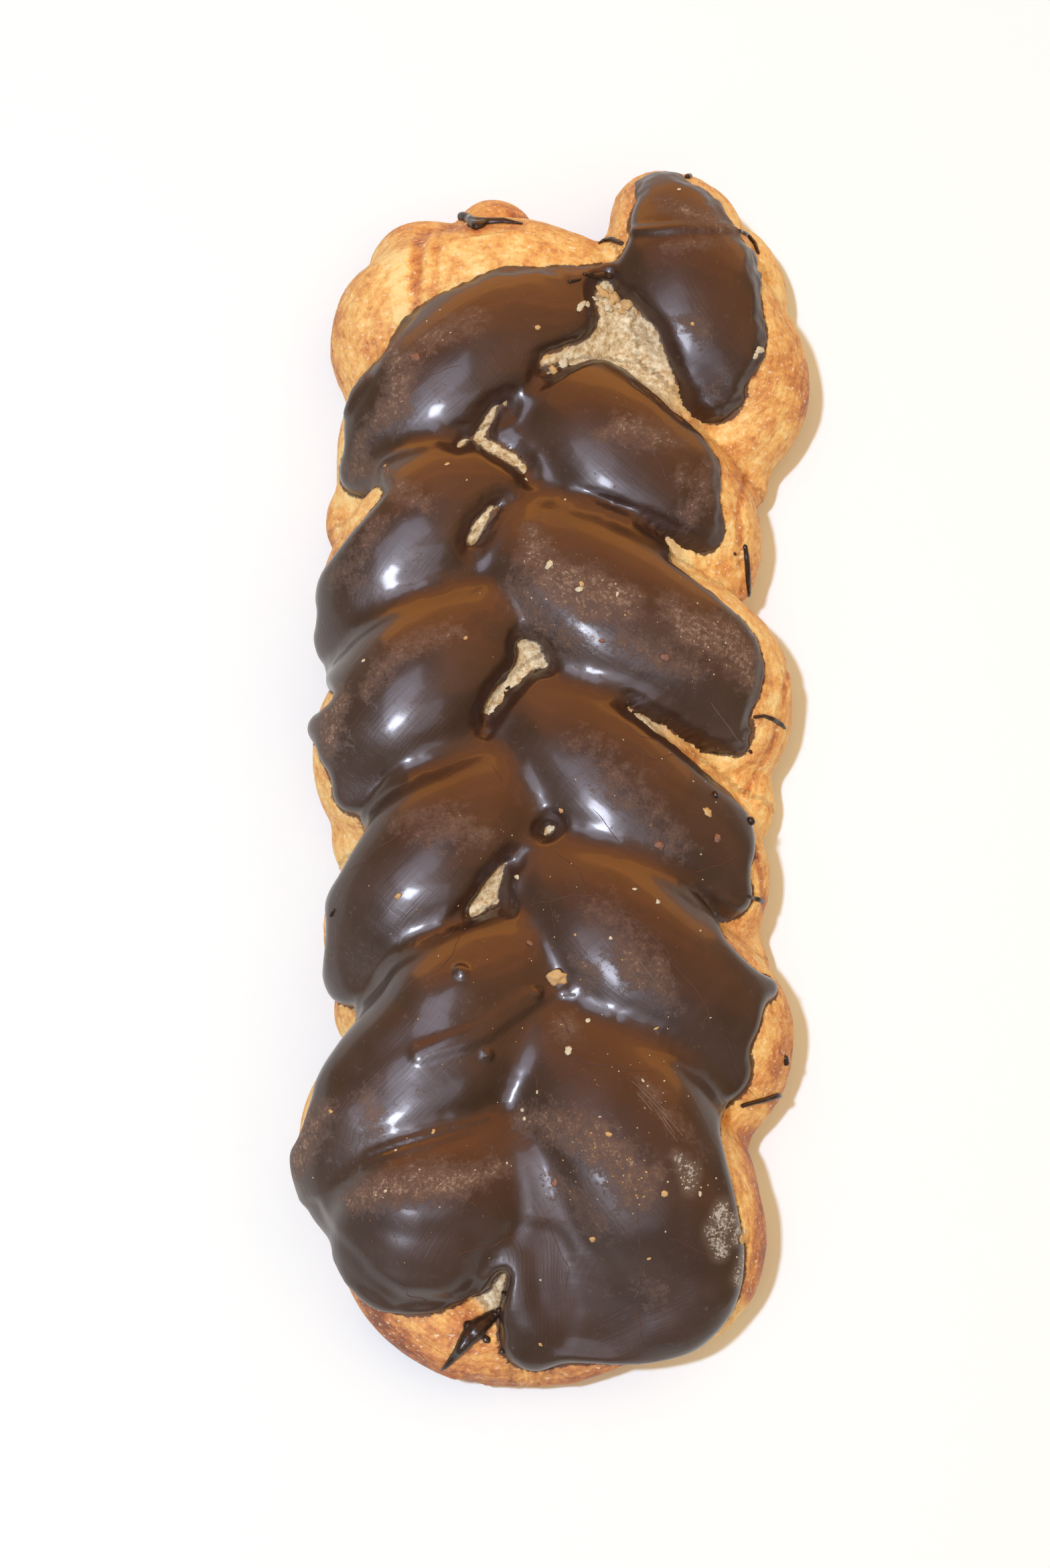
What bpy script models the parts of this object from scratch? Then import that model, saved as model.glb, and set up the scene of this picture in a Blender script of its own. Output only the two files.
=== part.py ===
"""Braided pastry: three strands of dough plaited and baked as one piece, under a dark chocolate coat.

Metres, +Z up. The plait lies along Y and stands on its flat underside at z = 0, with the origin
under the middle of its outline. Each strand runs over its neighbours at every third crossing and
under them in between. The coat is a closed shell that follows the dough at a small gap.
"""

import math

import bmesh
import bpy
import numpy as np
from mathutils import Matrix, Vector, noise

MM = 0.001

# Driving dimensions of the plait, in millimetres.
STRAND_WIDE = 28.0          # a strand seen from above
STRAND_HIGH = 25.0          # its height, flattened a little by its own weight
Z_EMERGE = 19.0             # centre line where a strand comes up from under the crossing above
Z_TURN = 11.5               # at the outer turn, down on the baking tray
Z_UNDER = 9.5               # where it passes under
THIN_START, THIN_TURN, THIN_UNDER = 0.95, 0.97, 0.9     # girth there, against the crest
BAKE_CELL = 1.5             # cells that melt the strands into one body
BAKE_ROUNDS = 8             # smoothing passes, which round the creases as baking does

# The coat, in millimetres.
COAT = 2.3                  # chocolate above the dough
GAP = 0.3                   # room between the two bodies
LIP = 2.6                   # width over which the coat's edge rounds off
SINK = 1.2                  # how deep its outer skin dives into the dough beyond the edge
FLUID = 2.5                 # radius that neighbouring lobes flow together with
TEAR = 0.8                  # the same round the gaps
COAT_LOW = 10.0             # the coat ends this high above the tray
POOL_CELL = 1.2             # cells that close the coat over the creases
POOL_ROUNDS = 5             # smoothing passes, which let it pool there

# Faces that are kept of each body.
DOUGH_FACES = 5900
COAT_FACES = 7200

# Crossings from the top end to the bottom end. Each strand comes up beside the middle line
# (start), lies on top (crest) and goes round at the side (turn). Girth is its thickness against
# the other strands. Row n belongs to strand n modulo 3.
CROSSINGS = (
    # start x y, crest x y z, turn x y, girth
    ((1, 93), (-18, 95, 19), (-34, 83), 0.97),
    ((19.5, 107), (24, 93, 22), (33.5, 75.5), 1.06),
    ((1, 88), (-18, 77, 24), (-30.5, 58.5), 1.02),
    ((-3, 70), (11.5, 60, 24.5), (26, 43), 1.00),
    ((-9, 55), (-25, 44, 24), (-32, 25), 0.98),
    ((-9, 41), (11, 29, 25), (32.5, 12), 1.08),
    ((-10, 26), (-24, 14, 24), (-32, -2.5), 1.00),
    ((-3, 9), (13, -5, 24), (30, -24), 0.98),
    ((-7, -7), (-20, -20, 24), (-28.5, -38), 0.95),
    ((2, -22), (16, -36, 25), (35, -54), 1.03),
    ((-4, -38), (-15.5, -53, 25), (-30, -79), 1.02),
    ((6, -57), (18, -74, 23), (28, -93), 1.22),
    ((-8, -77), (-20, -87, 21), (-21, -96), 1.05),
    ((-1, -90), (1, -98, 17), (2, -106), 0.62),
)

# The strands' ends beyond the crossings: x y z of the centre line, and girth.
HEADS = (
    ((10, 93, 12, 0.7),),
    ((14.5, 117.5, 12, 0.52),),
    ((9, 91, 12, 0.8),),
)
TAILS = (
    ((-14, -106, 10, 0.75), (-2, -108, 8, 0.7)),
    ((2, -109, 9, 0.6),),
    ((17, -102.5, 10, 0.78), (4, -109, 8, 0.7)),
)

# Lumps of dough that fill the plait out: centre x y z, and half sizes.
LUMPS = (
    ((-1, 0, 8), (26, 106, 12)),        # the middle, where the strands have baked together
    ((6, 88, 9), (16, 16, 11)),         # the hollow between the two upper lobes
    ((-15.5, 109, 7), (8.5, 8, 10)),    # nub at the top left
    ((-28.5, 101, 9), (12, 10, 12)),    # shoulder beside it
    ((31, 96, 9), (13, 17.5, 11)),      # shoulder at the top right
    ((-31, 72, 8), (12.5, 10, 9)),      # between the lobes down the sides
    ((28, 60, 8), (13.5, 9, 9)),
    ((-33, 49, 8), (13.5, 12, 10)),
    ((32, -4.5, 8), (12.5, 12.5, 10)),
    ((-30, -14, 8), (12, 12, 9)),
    ((31, -37, 8), (13.5, 12, 9)),
    ((-28.5, -48, 8), (11.5, 10, 9)),
    ((28, -69, 8), (13.5, 12, 10)),
    ((23.5, -83, 14), (20, 21, 17)),    # the wide lower right lobe
    ((-2.5, -104, 6), (25, 14.5, 10)),  # foot at the bottom end
)

# Where the coat lies, seen from above, by stations of x, y and half width: first what fills the
# middle and the creases between neighbours on one side, then the lobes over the crossings.
COAT_FILL = (
    ((-11, 72, 6), (-12, 50, 17), (-6, 20, 22), (-4, -15, 23), (-2, -45, 27), (-1, -72, 30), (4, -84, 20)),
    ((0, 92, 3), (6.5, 96.2, 1.4), (12, 96, 2)),
    ((-15, 60, 6), (-30, 53, 5)),
    ((0, 46, 6), (15, 40, 6)),
    ((-18, 30, 7), (-38, 16, 6)),
    ((-18, -1, 7), (-31, -12, 4)),
    ((8, -18, 8), (28, -33, 5)),
    ((-15, -34, 7), (-29, -47, 5)),
    ((12, -52, 8), (28, -65, 7)),
    ((-15, -70, 9), (-38, -82, 8)),
    ((2, -106, 8), (14, -104, 9)),
)
COAT_LOBES = (
    ((17.5, 113, 5), (20.5, 105, 9.3), (23, 94, 13.8), (27, 84, 11.5), (29, 74.5, 6.2)),
    ((-2, 87.5, 8), (-12, 84.3, 9.9), (-20.8, 77.8, 12.3), (-33, 64.3, 9.4), (-37.8, 57, 5.5)),
    ((-5.5, 64, 6), (5, 64, 13.5), (20.3, 55.5, 10), (26.6, 46, 5)),
    ((-13, 53.5, 3.5), (-25, 41.5, 10.7), (-37, 30.5, 9), (-42.7, 23, 4.4)),
    ((-9.5, 37, 8), (8.5, 29, 13.8), (27.6, 18, 12.4), (32.6, 7.2, 6)),
    ((-13, 24, 7), (-23.5, 14, 13.2), (-35.5, 2, 8.8), (-36.3, -6.5, 5)),
    ((-36, 4, 6), (-43.8, 5, 2.6)),
    ((-3, 5, 7.6), (14.5, -3.5, 12.5), (29, -15, 10.5), (34.5, -24, 5)),
    ((-10, -7, 7.6), (-21, -16.5, 11.3), (-32, -30, 9), (-35.5, -42, 5.8)),
    ((2, -21.5, 7), (14.5, -33, 13.2), (29, -47, 12.6), (33.5, -57.5, 7)),
    ((30, -44, 8), (42, -42.5, 2.6)),
    ((-1, -39.5, 7.6), (-14.5, -49, 13.3), (-30, -66, 11.5), (-39.5, -77.5, 5.8)),
    ((9, -54, 5.7), (17, -70, 16.3), (21.5, -94, 18.7)),
    ((-7, -78, 9), (-21.5, -90, 15.8), (-33.7, -88, 9)),
    ((3, -95, 6.3), (1.5, -107.5, 7)),
)

# Where the dough shows between the lobes: stations as above.
COAT_GAPS = (
    ((7, 91.8, 1.4), (9.5, 87.5, 3.4), (13.5, 82, 4.4), (18.5, 75, 3.2), (22.5, 70, 1.8)),
    ((-13.5, 69, 1.4), (-16, 63.4, 1.8), (-9.5, 59, 1.9), (-7, 56.5, 1.3)),
    ((-20, 61, 1.3), (-16, 63.4, 1.6)),
    ((-12.3, 49.5, 1.3), (-16.6, 43, 1.7)),
    ((-5.5, 23, 2), (-3, 19.5, 2.4), (-8.5, 15, 1.9), (-12.7, 7.5, 1.4)),
    ((14.5, 11.4, 1.4), (19.5, 8, 1.9), (25.5, 4.6, 2.2), (30, 1.2, 3), (36, -2, 5)),
    ((-7.5, -20.5, 1.5), (-10.3, -25.5, 2.3), (-14, -30, 2)),
    ((-4.8, -98.5, 1.2), (-5.5, -102, 2.1), (-8, -105.4, 2.9), (-12, -112, 6)),
)

# Relief of the bare dough: two thick drips and a fold, by stations of x, y and half width, and
# how high each stands.
RELIEF = (
    (((-6.7, -105.5, 2.2), (-10.5, -109.3, 3.0), (-16.5, -115.8, 1.0)), 2.2),
    (((-23.1, 109.6, 1.6), (-18.6, 107.6, 2.0), (-10.3, 109.4, 1.4)), 1.6),
    (((-32.3, 106, 1.5), (-30.4, 87.6, 1.5)), -1.5),
)
RELIEF_EDGE = 1.5           # width over which a drip rises
RELIEF_LOW = 3.0            # none of it lies lower than this
CRUST_WAVE = 0.45           # height of the crust's unevenness
CRUST_PITCH = 9.0           # and its width


def clear_scene():
    for item in list(bpy.data.objects):
        bpy.data.objects.remove(item, do_unlink=True)


def link(name, data):
    item = bpy.data.objects.new(name, data)
    bpy.context.scene.collection.objects.link(item)
    return item


def strand_profile():
    """Closed ellipse that a strand is swept with."""
    curve = bpy.data.curves.new("strand_profile", "CURVE")
    curve.dimensions = "2D"
    curve.resolution_u = 6
    spline = curve.splines.new("BEZIER")
    spline.bezier_points.add(3)
    spline.use_cyclic_u = True
    for k, point in enumerate(spline.bezier_points):
        angle = k * math.pi / 2
        point.co = (STRAND_WIDE / 2 * MM * math.cos(angle), STRAND_HIGH / 2 * MM * math.sin(angle), 0)
        point.handle_left_type = point.handle_right_type = "AUTO"
    return link("strand_profile", curve)


def strand_route(which):
    """Points and girths of one strand, from the top end to the bottom end."""
    route = list(HEADS[which])
    rows = CROSSINGS[which::3]
    for n, (start, crest, turn, girth) in enumerate(rows):
        route += [(*start, Z_EMERGE, girth * THIN_START), (*crest, girth)]
        route.append((*turn, Z_TURN, girth * THIN_TURN))
        if n + 1 < len(rows):
            after = rows[n + 1][0]
            under = ((turn[0] + after[0]) / 2, (turn[1] + after[1]) / 2)
            route.append((*under, Z_UNDER, girth * THIN_UNDER))
    return route + list(TAILS[which])


def sweep_strand(which, profile):
    """Tube through the points of a strand's route, thinner or thicker with the girth."""
    curve = bpy.data.curves.new(f"strand_{which}", "CURVE")
    curve.dimensions = "3D"
    curve.twist_mode = "Z_UP"
    curve.bevel_mode = "OBJECT"
    curve.bevel_object = profile
    curve.use_fill_caps = True
    curve.resolution_u = 12
    route = strand_route(which)
    spline = curve.splines.new("BEZIER")
    spline.bezier_points.add(len(route) - 1)
    for point, (x, y, z, girth) in zip(spline.bezier_points, route):
        point.co = (x * MM, y * MM, z * MM)
        point.radius = girth
        point.handle_left_type = point.handle_right_type = "AUTO"
    return link(f"strand_{which}", curve)


def add_lump(centre, half):
    """Ellipsoid of dough."""
    bpy.ops.mesh.primitive_uv_sphere_add(segments=48, ring_count=24, radius=MM)
    lump = bpy.context.object
    lump.scale = half
    lump.location = Vector(centre) * MM
    return lump


def evaluated_mesh(item):
    view = bpy.context.evaluated_depsgraph_get()
    mesh = bpy.data.meshes.new_from_object(item.evaluated_get(view))
    mesh.transform(item.matrix_world)
    return mesh


def melt(item, cell, rounds):
    """Makes one closed skin round all that the mesh holds, and rounds its creases."""
    skin = item.modifiers.new("skin", "REMESH")
    skin.mode = "VOXEL"
    skin.voxel_size = cell * MM
    crease = item.modifiers.new("crease", "SMOOTH")
    crease.factor = 0.5
    crease.iterations = rounds


def bake(pieces):
    """Melts tubes and lumps into one body."""
    together = bmesh.new()
    for piece in pieces:
        mesh = evaluated_mesh(piece)
        together.from_mesh(mesh)
        bpy.data.meshes.remove(mesh)
    raw = bpy.data.meshes.new("baked")
    together.to_mesh(raw)
    together.free()
    body = link("baked", raw)
    melt(body, BAKE_CELL, BAKE_ROUNDS)
    return body


def points_of(mesh):
    """Vertex positions as rows, in millimetres."""
    flat = np.empty(len(mesh.vertices) * 3)
    mesh.vertices.foreach_get("co", flat)
    return flat.reshape(-1, 3) / MM


def normals_of(mesh):
    flat = np.empty(len(mesh.vertices) * 3)
    mesh.vertex_normals.foreach_get("vector", flat)
    return flat.reshape(-1, 3)


def push_out(mesh, distances):
    """Moves each vertex along its normal by its own distance in millimetres."""
    points = points_of(mesh) + normals_of(mesh) * np.reshape(distances, (-1, 1))
    mesh.vertices.foreach_set("co", (points * MM).ravel())
    mesh.update()


def chain_distance(points, stations):
    """Plan distance to a chain of tapered round-ended bars, negative inside."""
    nearest = np.full(len(points), np.inf)
    for (ax, ay, ar), (bx, by, br) in zip(stations, stations[1:]):
        along = np.array((bx - ax, by - ay))
        part = np.clip((points[:, :2] - (ax, ay)) @ along / (along @ along), 0, 1)
        across = points[:, :2] - (ax, ay) - part[:, None] * along
        nearest = np.minimum(nearest, np.hypot(*across.T) - ar - part * (br - ar))
    return nearest


def blend_min(a, b, radius):
    """Smaller of two distances, with a fillet where they meet."""
    mix = np.clip(0.5 + 0.5 * (b - a) / radius, 0, 1)
    return b + (a - b) * mix - radius * mix * (1 - mix)


def coat_distance(points):
    """Distance outside the coat's outline, negative where chocolate lies."""
    outside = np.full(len(points), 1e3)
    for stations in COAT_FILL + COAT_LOBES:
        outside = blend_min(outside, chain_distance(points, stations), FLUID)
    for stations in COAT_GAPS:
        outside = -blend_min(-outside, chain_distance(points, stations), TEAR)
    return -blend_min(-outside, points[:, 2] - COAT_LOW, FLUID)


def coat_height(points):
    """Height of the chocolate above the dough: a rounded lip, and below the surface when bare."""
    outside = coat_distance(points)
    inside = np.clip(-outside / LIP, 0, 1)
    lip = np.sqrt(1 - (1 - inside) ** 2)
    return lip * COAT - np.clip(outside, 0, 1) * SINK


def crust_relief(points):
    relief = np.array([noise.noise(Vector(p) / CRUST_PITCH) for p in points]) * CRUST_WAVE
    for stations, high in RELIEF:
        inside = np.clip(0.5 - chain_distance(points, stations) / RELIEF_EDGE, 0, 1)
        relief += high * inside * (points[:, 2] > RELIEF_LOW)
    return relief


def apply_modifiers(item):
    mesh = evaluated_mesh(item)
    item.modifiers.clear()
    item.data = mesh


def keep_faces(item, count):
    thin = item.modifiers.new("thin", "DECIMATE")
    thin.ratio = count / sum(len(face.vertices) - 2 for face in item.data.polygons)
    thin.use_collapse_triangulate = True
    apply_modifiers(item)


def drop_scraps(mesh):
    """Keeps the largest body of a mesh."""
    body = bmesh.new()
    body.from_mesh(mesh)
    left = set(body.verts)
    shells = []
    while left:
        shell = [left.pop()]
        for vertex in shell:
            near = {edge.other_vert(vertex) for edge in vertex.link_edges} & left
            left -= near
            shell += near
        shells.append(shell)
    shells.sort(key=len)
    for shell in shells[:-1]:
        bmesh.ops.delete(body, geom=shell, context="VERTS")
    body.to_mesh(mesh)
    body.free()


def cut_base(mesh):
    """Cuts the underside flat at z = 0 and closes it with one face."""
    body = bmesh.new()
    body.from_mesh(mesh)
    whole = body.verts[:] + body.edges[:] + body.faces[:]
    cut = bmesh.ops.bisect_plane(body, geom=whole, plane_co=(0, 0, 0), plane_no=(0, 0, 1), clear_inner=True)
    rim = [item for item in cut["geom_cut"] if isinstance(item, bmesh.types.BMEdge)]
    bmesh.ops.holes_fill(body, edges=rim, sides=0)
    bmesh.ops.recalc_face_normals(body, faces=body.faces[:])
    body.to_mesh(mesh)
    body.free()


def stand_on_origin(items):
    """Moves the finished meshes so that the origin is under the middle of their outline."""
    points = np.vstack([points_of(item.data) for item in items])
    middle = (points.min(0) + points.max(0)) / 2
    for item in items:
        item.data.transform(Matrix.Translation((-middle[0] * MM, -middle[1] * MM, 0)))


def finish_material(item, name, colour, roughness):
    material = bpy.data.materials.new(name)
    material.use_nodes = True
    shader = material.node_tree.nodes["Principled BSDF"]
    shader.inputs["Base Color"].default_value = (*colour, 1)
    shader.inputs["Roughness"].default_value = roughness
    shader.inputs["Metallic"].default_value = 0
    item.data.materials.clear()
    item.data.materials.append(material)
    item.data.shade_smooth()


def build_dough():
    """Returns the kept dough body and the fine mesh that the coat is shaped on."""
    profile = strand_profile()
    pieces = [sweep_strand(k, profile) for k in range(3)] + [add_lump(*lump) for lump in LUMPS]
    bpy.context.view_layer.update()
    body = bake(pieces)
    for piece in pieces + [profile]:
        bpy.data.objects.remove(piece, do_unlink=True)
    fine = evaluated_mesh(body)
    bpy.data.objects.remove(body, do_unlink=True)
    push_out(fine, crust_relief(points_of(fine)))
    dough = link("dough", fine.copy())
    keep_faces(dough, DOUGH_FACES)
    uncut = dough.data.copy()
    cut_base(dough.data)
    return dough, fine, uncut


def build_coat(fine, uncut):
    """Shell between the swollen fine dough and the kept dough grown by the gap."""
    push_out(fine, coat_height(points_of(fine)))
    coat = link("icing", fine)
    melt(coat, POOL_CELL, POOL_ROUNDS)
    apply_modifiers(coat)
    keep_faces(coat, COAT_FACES)
    push_out(uncut, np.full(len(uncut.vertices), GAP))
    inner = link("coat_inner", uncut)
    hollow = coat.modifiers.new("hollow", "BOOLEAN")
    hollow.operation = "DIFFERENCE"
    hollow.object = inner
    apply_modifiers(coat)
    drop_scraps(coat.data)
    bpy.data.objects.remove(inner, do_unlink=True)
    return coat


clear_scene()
dough, fine, uncut = build_dough()
coat = build_coat(fine, uncut)
stand_on_origin((dough, coat))
finish_material(dough, "baked_crust", (0.60, 0.30, 0.10), 0.62)
finish_material(coat, "dark_chocolate", (0.035, 0.021, 0.016), 0.28)
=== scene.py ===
"""Braided pastry: the looks of three plaited strands of dough under a coat of dark chocolate.

Tables and the names that end in _mm are in millimetres, in the frame in which the plait was laid
out. settle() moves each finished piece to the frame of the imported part, which is in metres.
"""

import math
import random

import bmesh
import bpy
import numpy as np
from mathutils import Matrix, Vector, noise
from mathutils.bvhtree import BVHTree
from mathutils.kdtree import KDTree


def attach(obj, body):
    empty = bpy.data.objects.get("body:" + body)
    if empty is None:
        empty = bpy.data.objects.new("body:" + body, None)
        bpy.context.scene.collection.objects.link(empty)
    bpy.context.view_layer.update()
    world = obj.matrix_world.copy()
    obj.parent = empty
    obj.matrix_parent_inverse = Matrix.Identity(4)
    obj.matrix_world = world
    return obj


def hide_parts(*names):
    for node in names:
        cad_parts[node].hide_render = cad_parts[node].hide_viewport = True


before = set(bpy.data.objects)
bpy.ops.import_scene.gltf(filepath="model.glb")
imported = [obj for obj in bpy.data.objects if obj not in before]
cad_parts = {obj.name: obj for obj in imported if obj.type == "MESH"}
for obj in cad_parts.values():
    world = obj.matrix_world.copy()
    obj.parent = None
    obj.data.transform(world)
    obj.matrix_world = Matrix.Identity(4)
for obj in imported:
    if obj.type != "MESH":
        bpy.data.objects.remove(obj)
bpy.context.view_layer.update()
bpy.ops.object.select_all(action="DESELECT")

MM = 0.001


# ------------------------------------------------------------------------------------------------
# Camera. It looks almost straight down at the pastry, a little from the lower end. Forms that were
# read off the picture are placed by its pixels, across and down, further on.
# ------------------------------------------------------------------------------------------------
look_at = Vector((-5.44, -5.17, 15)) * MM
distance_mm = 650
elevation, turn = math.radians(80), math.radians(2.4)
picture_px = (1568, 2342)
picture_middle = (picture_px[0] / 2, picture_px[1] / 2)
pixels_per_mm = 7.72
sensor_mm = 36

level = math.cos(elevation)
away = Vector((math.sin(turn) * level, -math.cos(turn) * level, math.sin(elevation)))
bpy.ops.object.camera_add(
    location=look_at + away * distance_mm * MM, rotation=(-away).to_track_quat("-Z", "Y").to_euler()
)
camera = bpy.context.object
camera.name = "camera"
camera.data.sensor_fit = "VERTICAL"
camera.data.sensor_height = sensor_mm
camera.data.lens = sensor_mm * distance_mm / (picture_px[1] / pixels_per_mm)
bpy.context.scene.camera = camera


# ------------------------------------------------------------------------------------------------
# Floor and light. A matt white sheet under a small cool light overhead, which throws the short
# shadow, and a wide warm one that fills it. The others only gleam in the chocolate: a window and
# pale walls at the near end and the left, amber walls at the far end and the right.
# ------------------------------------------------------------------------------------------------
def srgb(text):
    """Linear colour of an sRGB hex value."""
    parts = [int(text[k : k + 2], 16) / 255 for k in (1, 3, 5)]
    return tuple(c / 12.92 if c <= 0.04045 else ((c + 0.055) / 1.055) ** 2.4 for c in parts) + (1.0,)


def add_node(tree, kind, inputs=None, **settings):
    """Adds a node, sets its properties, and sets or links its inputs."""
    item = tree.nodes.new("ShaderNode" + kind)
    for name, value in settings.items():
        setattr(item, name, value)
    for name, value in (inputs or {}).items():
        if isinstance(value, bpy.types.NodeSocket):
            tree.links.new(value, item.inputs[name])
        else:
            item.inputs[name].default_value = value
    return item


def new_material(name):
    """Empty material with its shader and its output joined."""
    material = bpy.data.materials.new(name)
    material.use_nodes = True
    tree = material.node_tree
    shader = tree.nodes["Principled BSDF"]
    return material, tree, shader


bpy.ops.mesh.primitive_plane_add(size=4)
sheet = bpy.context.object
sheet.name = "white_sheet"
# Matt white paper: it scatters all light and has no gloss.
paper, tree, shader = new_material("matt_white_paper")
shader.inputs["Base Color"].default_value = srgb("#f1f4f9")
shader.inputs["Roughness"].default_value = 0.9
sheet.data.materials.append(paper)


def add_softbox(name, place, size, power, colour, gleam):
    """Rectangular light, wide and high, aimed at the pastry, which only gleams or only lights."""
    bpy.ops.object.light_add(type="AREA", location=place)
    light = bpy.context.object
    light.name = name
    light.data.shape = "RECTANGLE"
    light.data.size, light.data.size_y = size
    light.data.energy = power
    light.data.color = srgb(colour)[:3]
    light.rotation_euler = (-Vector(place)).to_track_quat("-Z", "Y").to_euler()
    light.visible_glossy = gleam
    light.visible_diffuse = not gleam


# Places and sizes in metres, then watts. The first two light the pastry, the rest only gleam in it.
add_softbox("light_above", (-0.34, -0.04, 1.5), (0.07, 0.07), 18.5, "#cae2fb", False)
add_softbox("light_fill", (0.4, 0.1, 1.95), (3.0, 3.0), 28, "#ffe2b0", False)
add_softbox("light_near", (-0.52, -0.84, 1.08), (0.30, 0.30), 15, "#e2eaff", True)
add_softbox("light_near_wide", (-0.3, -1.3, 1.55), (2.0, 0.9), 12, "#d2d6ee", True)
add_softbox("light_left_high", (-0.74, -0.34, 1.6), (0.8, 1.2), 11, "#d2daf6", True)
add_softbox("light_right_wide", (1.15, 0.0, 1.45), (1.6, 2.2), 7, "#ff9c5c", True)
add_softbox("light_far_low", (0.0, 1.90, 0.44), (5.0, 0.84), 40, "#ffa040", True)
add_softbox("light_far_middle", (0.0, 1.62, 1.08), (5.0, 0.84), 17, "#ff9640", True)
add_softbox("light_far_high", (0.0, 1.10, 1.63), (4.4, 1.0), 13, "#ff8a44", True)

world = bpy.data.worlds.new("room")
bpy.context.scene.world = world
world.use_nodes = True
world.node_tree.nodes["Background"].inputs["Color"].default_value = srgb("#ffe2ac")
world.node_tree.nodes["Background"].inputs["Strength"].default_value = 0.30
bpy.context.scene.view_settings.view_transform = "Standard"


# ------------------------------------------------------------------------------------------------
# Dough. Three strands of yeast dough, plaited, then baked until they are one loaf with a dry
# golden crust. Tubes and lumps are joined, melted into one skin, and given the crust's relief.
# ------------------------------------------------------------------------------------------------
strand_wide, strand_high = 28.0, 25.0
# How high a strand's middle lies where it comes up, goes round and runs under, and its girth there.
z_emerge, z_turn, z_under = 19.0, 11.5, 9.5
thin_start, thin_turn, thin_under = 0.95, 0.97, 0.9
# Each strand comes up beside the middle line (start), lies on top (crest) and goes round at the
# side (turn). Row n belongs to strand n modulo 3: start x y, crest x y z, turn x y, girth.
crossings = (
    ((1, 93), (-18, 95, 19), (-34, 83), 0.97),
    ((19.5, 107), (24, 93, 22), (33.5, 75.5), 1.06),
    ((1, 88), (-18, 77, 24), (-30.5, 58.5), 1.02),
    ((-3, 70), (11.5, 60, 24.5), (26, 43), 1.00),
    ((-9, 55), (-25, 44, 24), (-32, 25), 0.98),
    ((-9, 41), (11, 29, 25), (32.5, 12), 1.08),
    ((-10, 26), (-24, 14, 24), (-32, -2.5), 1.00),
    ((-3, 9), (13, -5, 24), (30, -24), 0.98),
    ((-7, -7), (-20, -20, 24), (-28.5, -38), 0.95),
    ((2, -22), (16, -36, 25), (35, -54), 1.03),
    ((-4, -38), (-15.5, -53, 25), (-30, -79), 1.02),
    ((6, -57), (18, -74, 23), (28, -93), 1.22),
    ((-8, -77), (-20, -87, 21), (-21, -96), 1.05),
    ((-1, -90), (1, -98, 17), (2, -106), 0.62),
)
# The strands' ends beyond the crossings: x y z and girth.
heads = (((10, 93, 12, 0.7),), ((14.5, 117.5, 12, 0.52),), ((9, 91, 12, 0.8),))
tails = (
    ((-14, -106, 10, 0.75), (-2, -108, 8, 0.7)),
    ((2, -109, 9, 0.6),),
    ((17, -102.5, 10, 0.78), (4, -109, 8, 0.7)),
)
# Lumps that fill the plait out: centre and half sizes.
lumps = (
    ((-1, 0, 8), (26, 106, 12)),
    ((6, 88, 9), (16, 16, 11)),
    ((-15.5, 109, 7), (8.5, 8, 10)),
    ((-28.5, 101, 9), (12, 10, 12)),
    ((31, 96, 9), (13, 17.5, 11)),
    ((-31, 72, 8), (12.5, 10, 9)),
    ((28, 60, 8), (13.5, 9, 9)),
    ((-33, 49, 8), (13.5, 12, 10)),
    ((32, -4.5, 8), (12.5, 12.5, 10)),
    ((-30, -14, 8), (12, 12, 9)),
    ((31, -37, 8), (13.5, 12, 9)),
    ((-28.5, -48, 8), (11.5, 10, 9)),
    ((28, -69, 8), (13.5, 12, 10)),
    ((23.5, -83, 14), (20, 21, 17)),
    ((-2.5, -104, 6), (25, 14.5, 10)),
)
stand_mm = (0.87, 1.72)     # where the middle of the outline lies in the laid-out frame
dough_cell_mm = 0.85
bake_sigma = 18.0           # smoothing of the melted skin, as rounds times cell squared


def pick(*items):
    """Selects these objects alone, the last one active."""
    bpy.ops.object.select_all(action="DESELECT")
    for item in items:
        item.select_set(True)
    bpy.context.view_layer.objects.active = items[-1]


def apply_modifiers(piece):
    pick(piece)
    for name in [modifier.name for modifier in piece.modifiers]:
        bpy.ops.object.modifier_apply(modifier=name)


def melt(piece, cell_mm, sigma):
    """One closed skin round all that the mesh holds, with its creases rounded."""
    skin = piece.modifiers.new("skin", "REMESH")
    skin.mode = "VOXEL"
    skin.voxel_size = cell_mm * MM
    if sigma:
        crease = piece.modifiers.new("crease", "SMOOTH")
        crease.factor = 0.5
        crease.iterations = max(1, round(sigma / cell_mm**2))
    apply_modifiers(piece)


def strand_points(which):
    """Points and girths of one strand, from the top end to the bottom end."""
    route = list(heads[which])
    rows = crossings[which::3]
    for n, (start, crest, side, girth) in enumerate(rows):
        route += [(*start, z_emerge, girth * thin_start), (*crest, girth)]
        route.append((*side, z_turn, girth * thin_turn))
        if n + 1 < len(rows):
            after = rows[n + 1][0]
            under = ((side[0] + after[0]) / 2, (side[1] + after[1]) / 2)
            route.append((*under, z_under, girth * thin_under))
    return route + list(tails[which])


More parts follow.
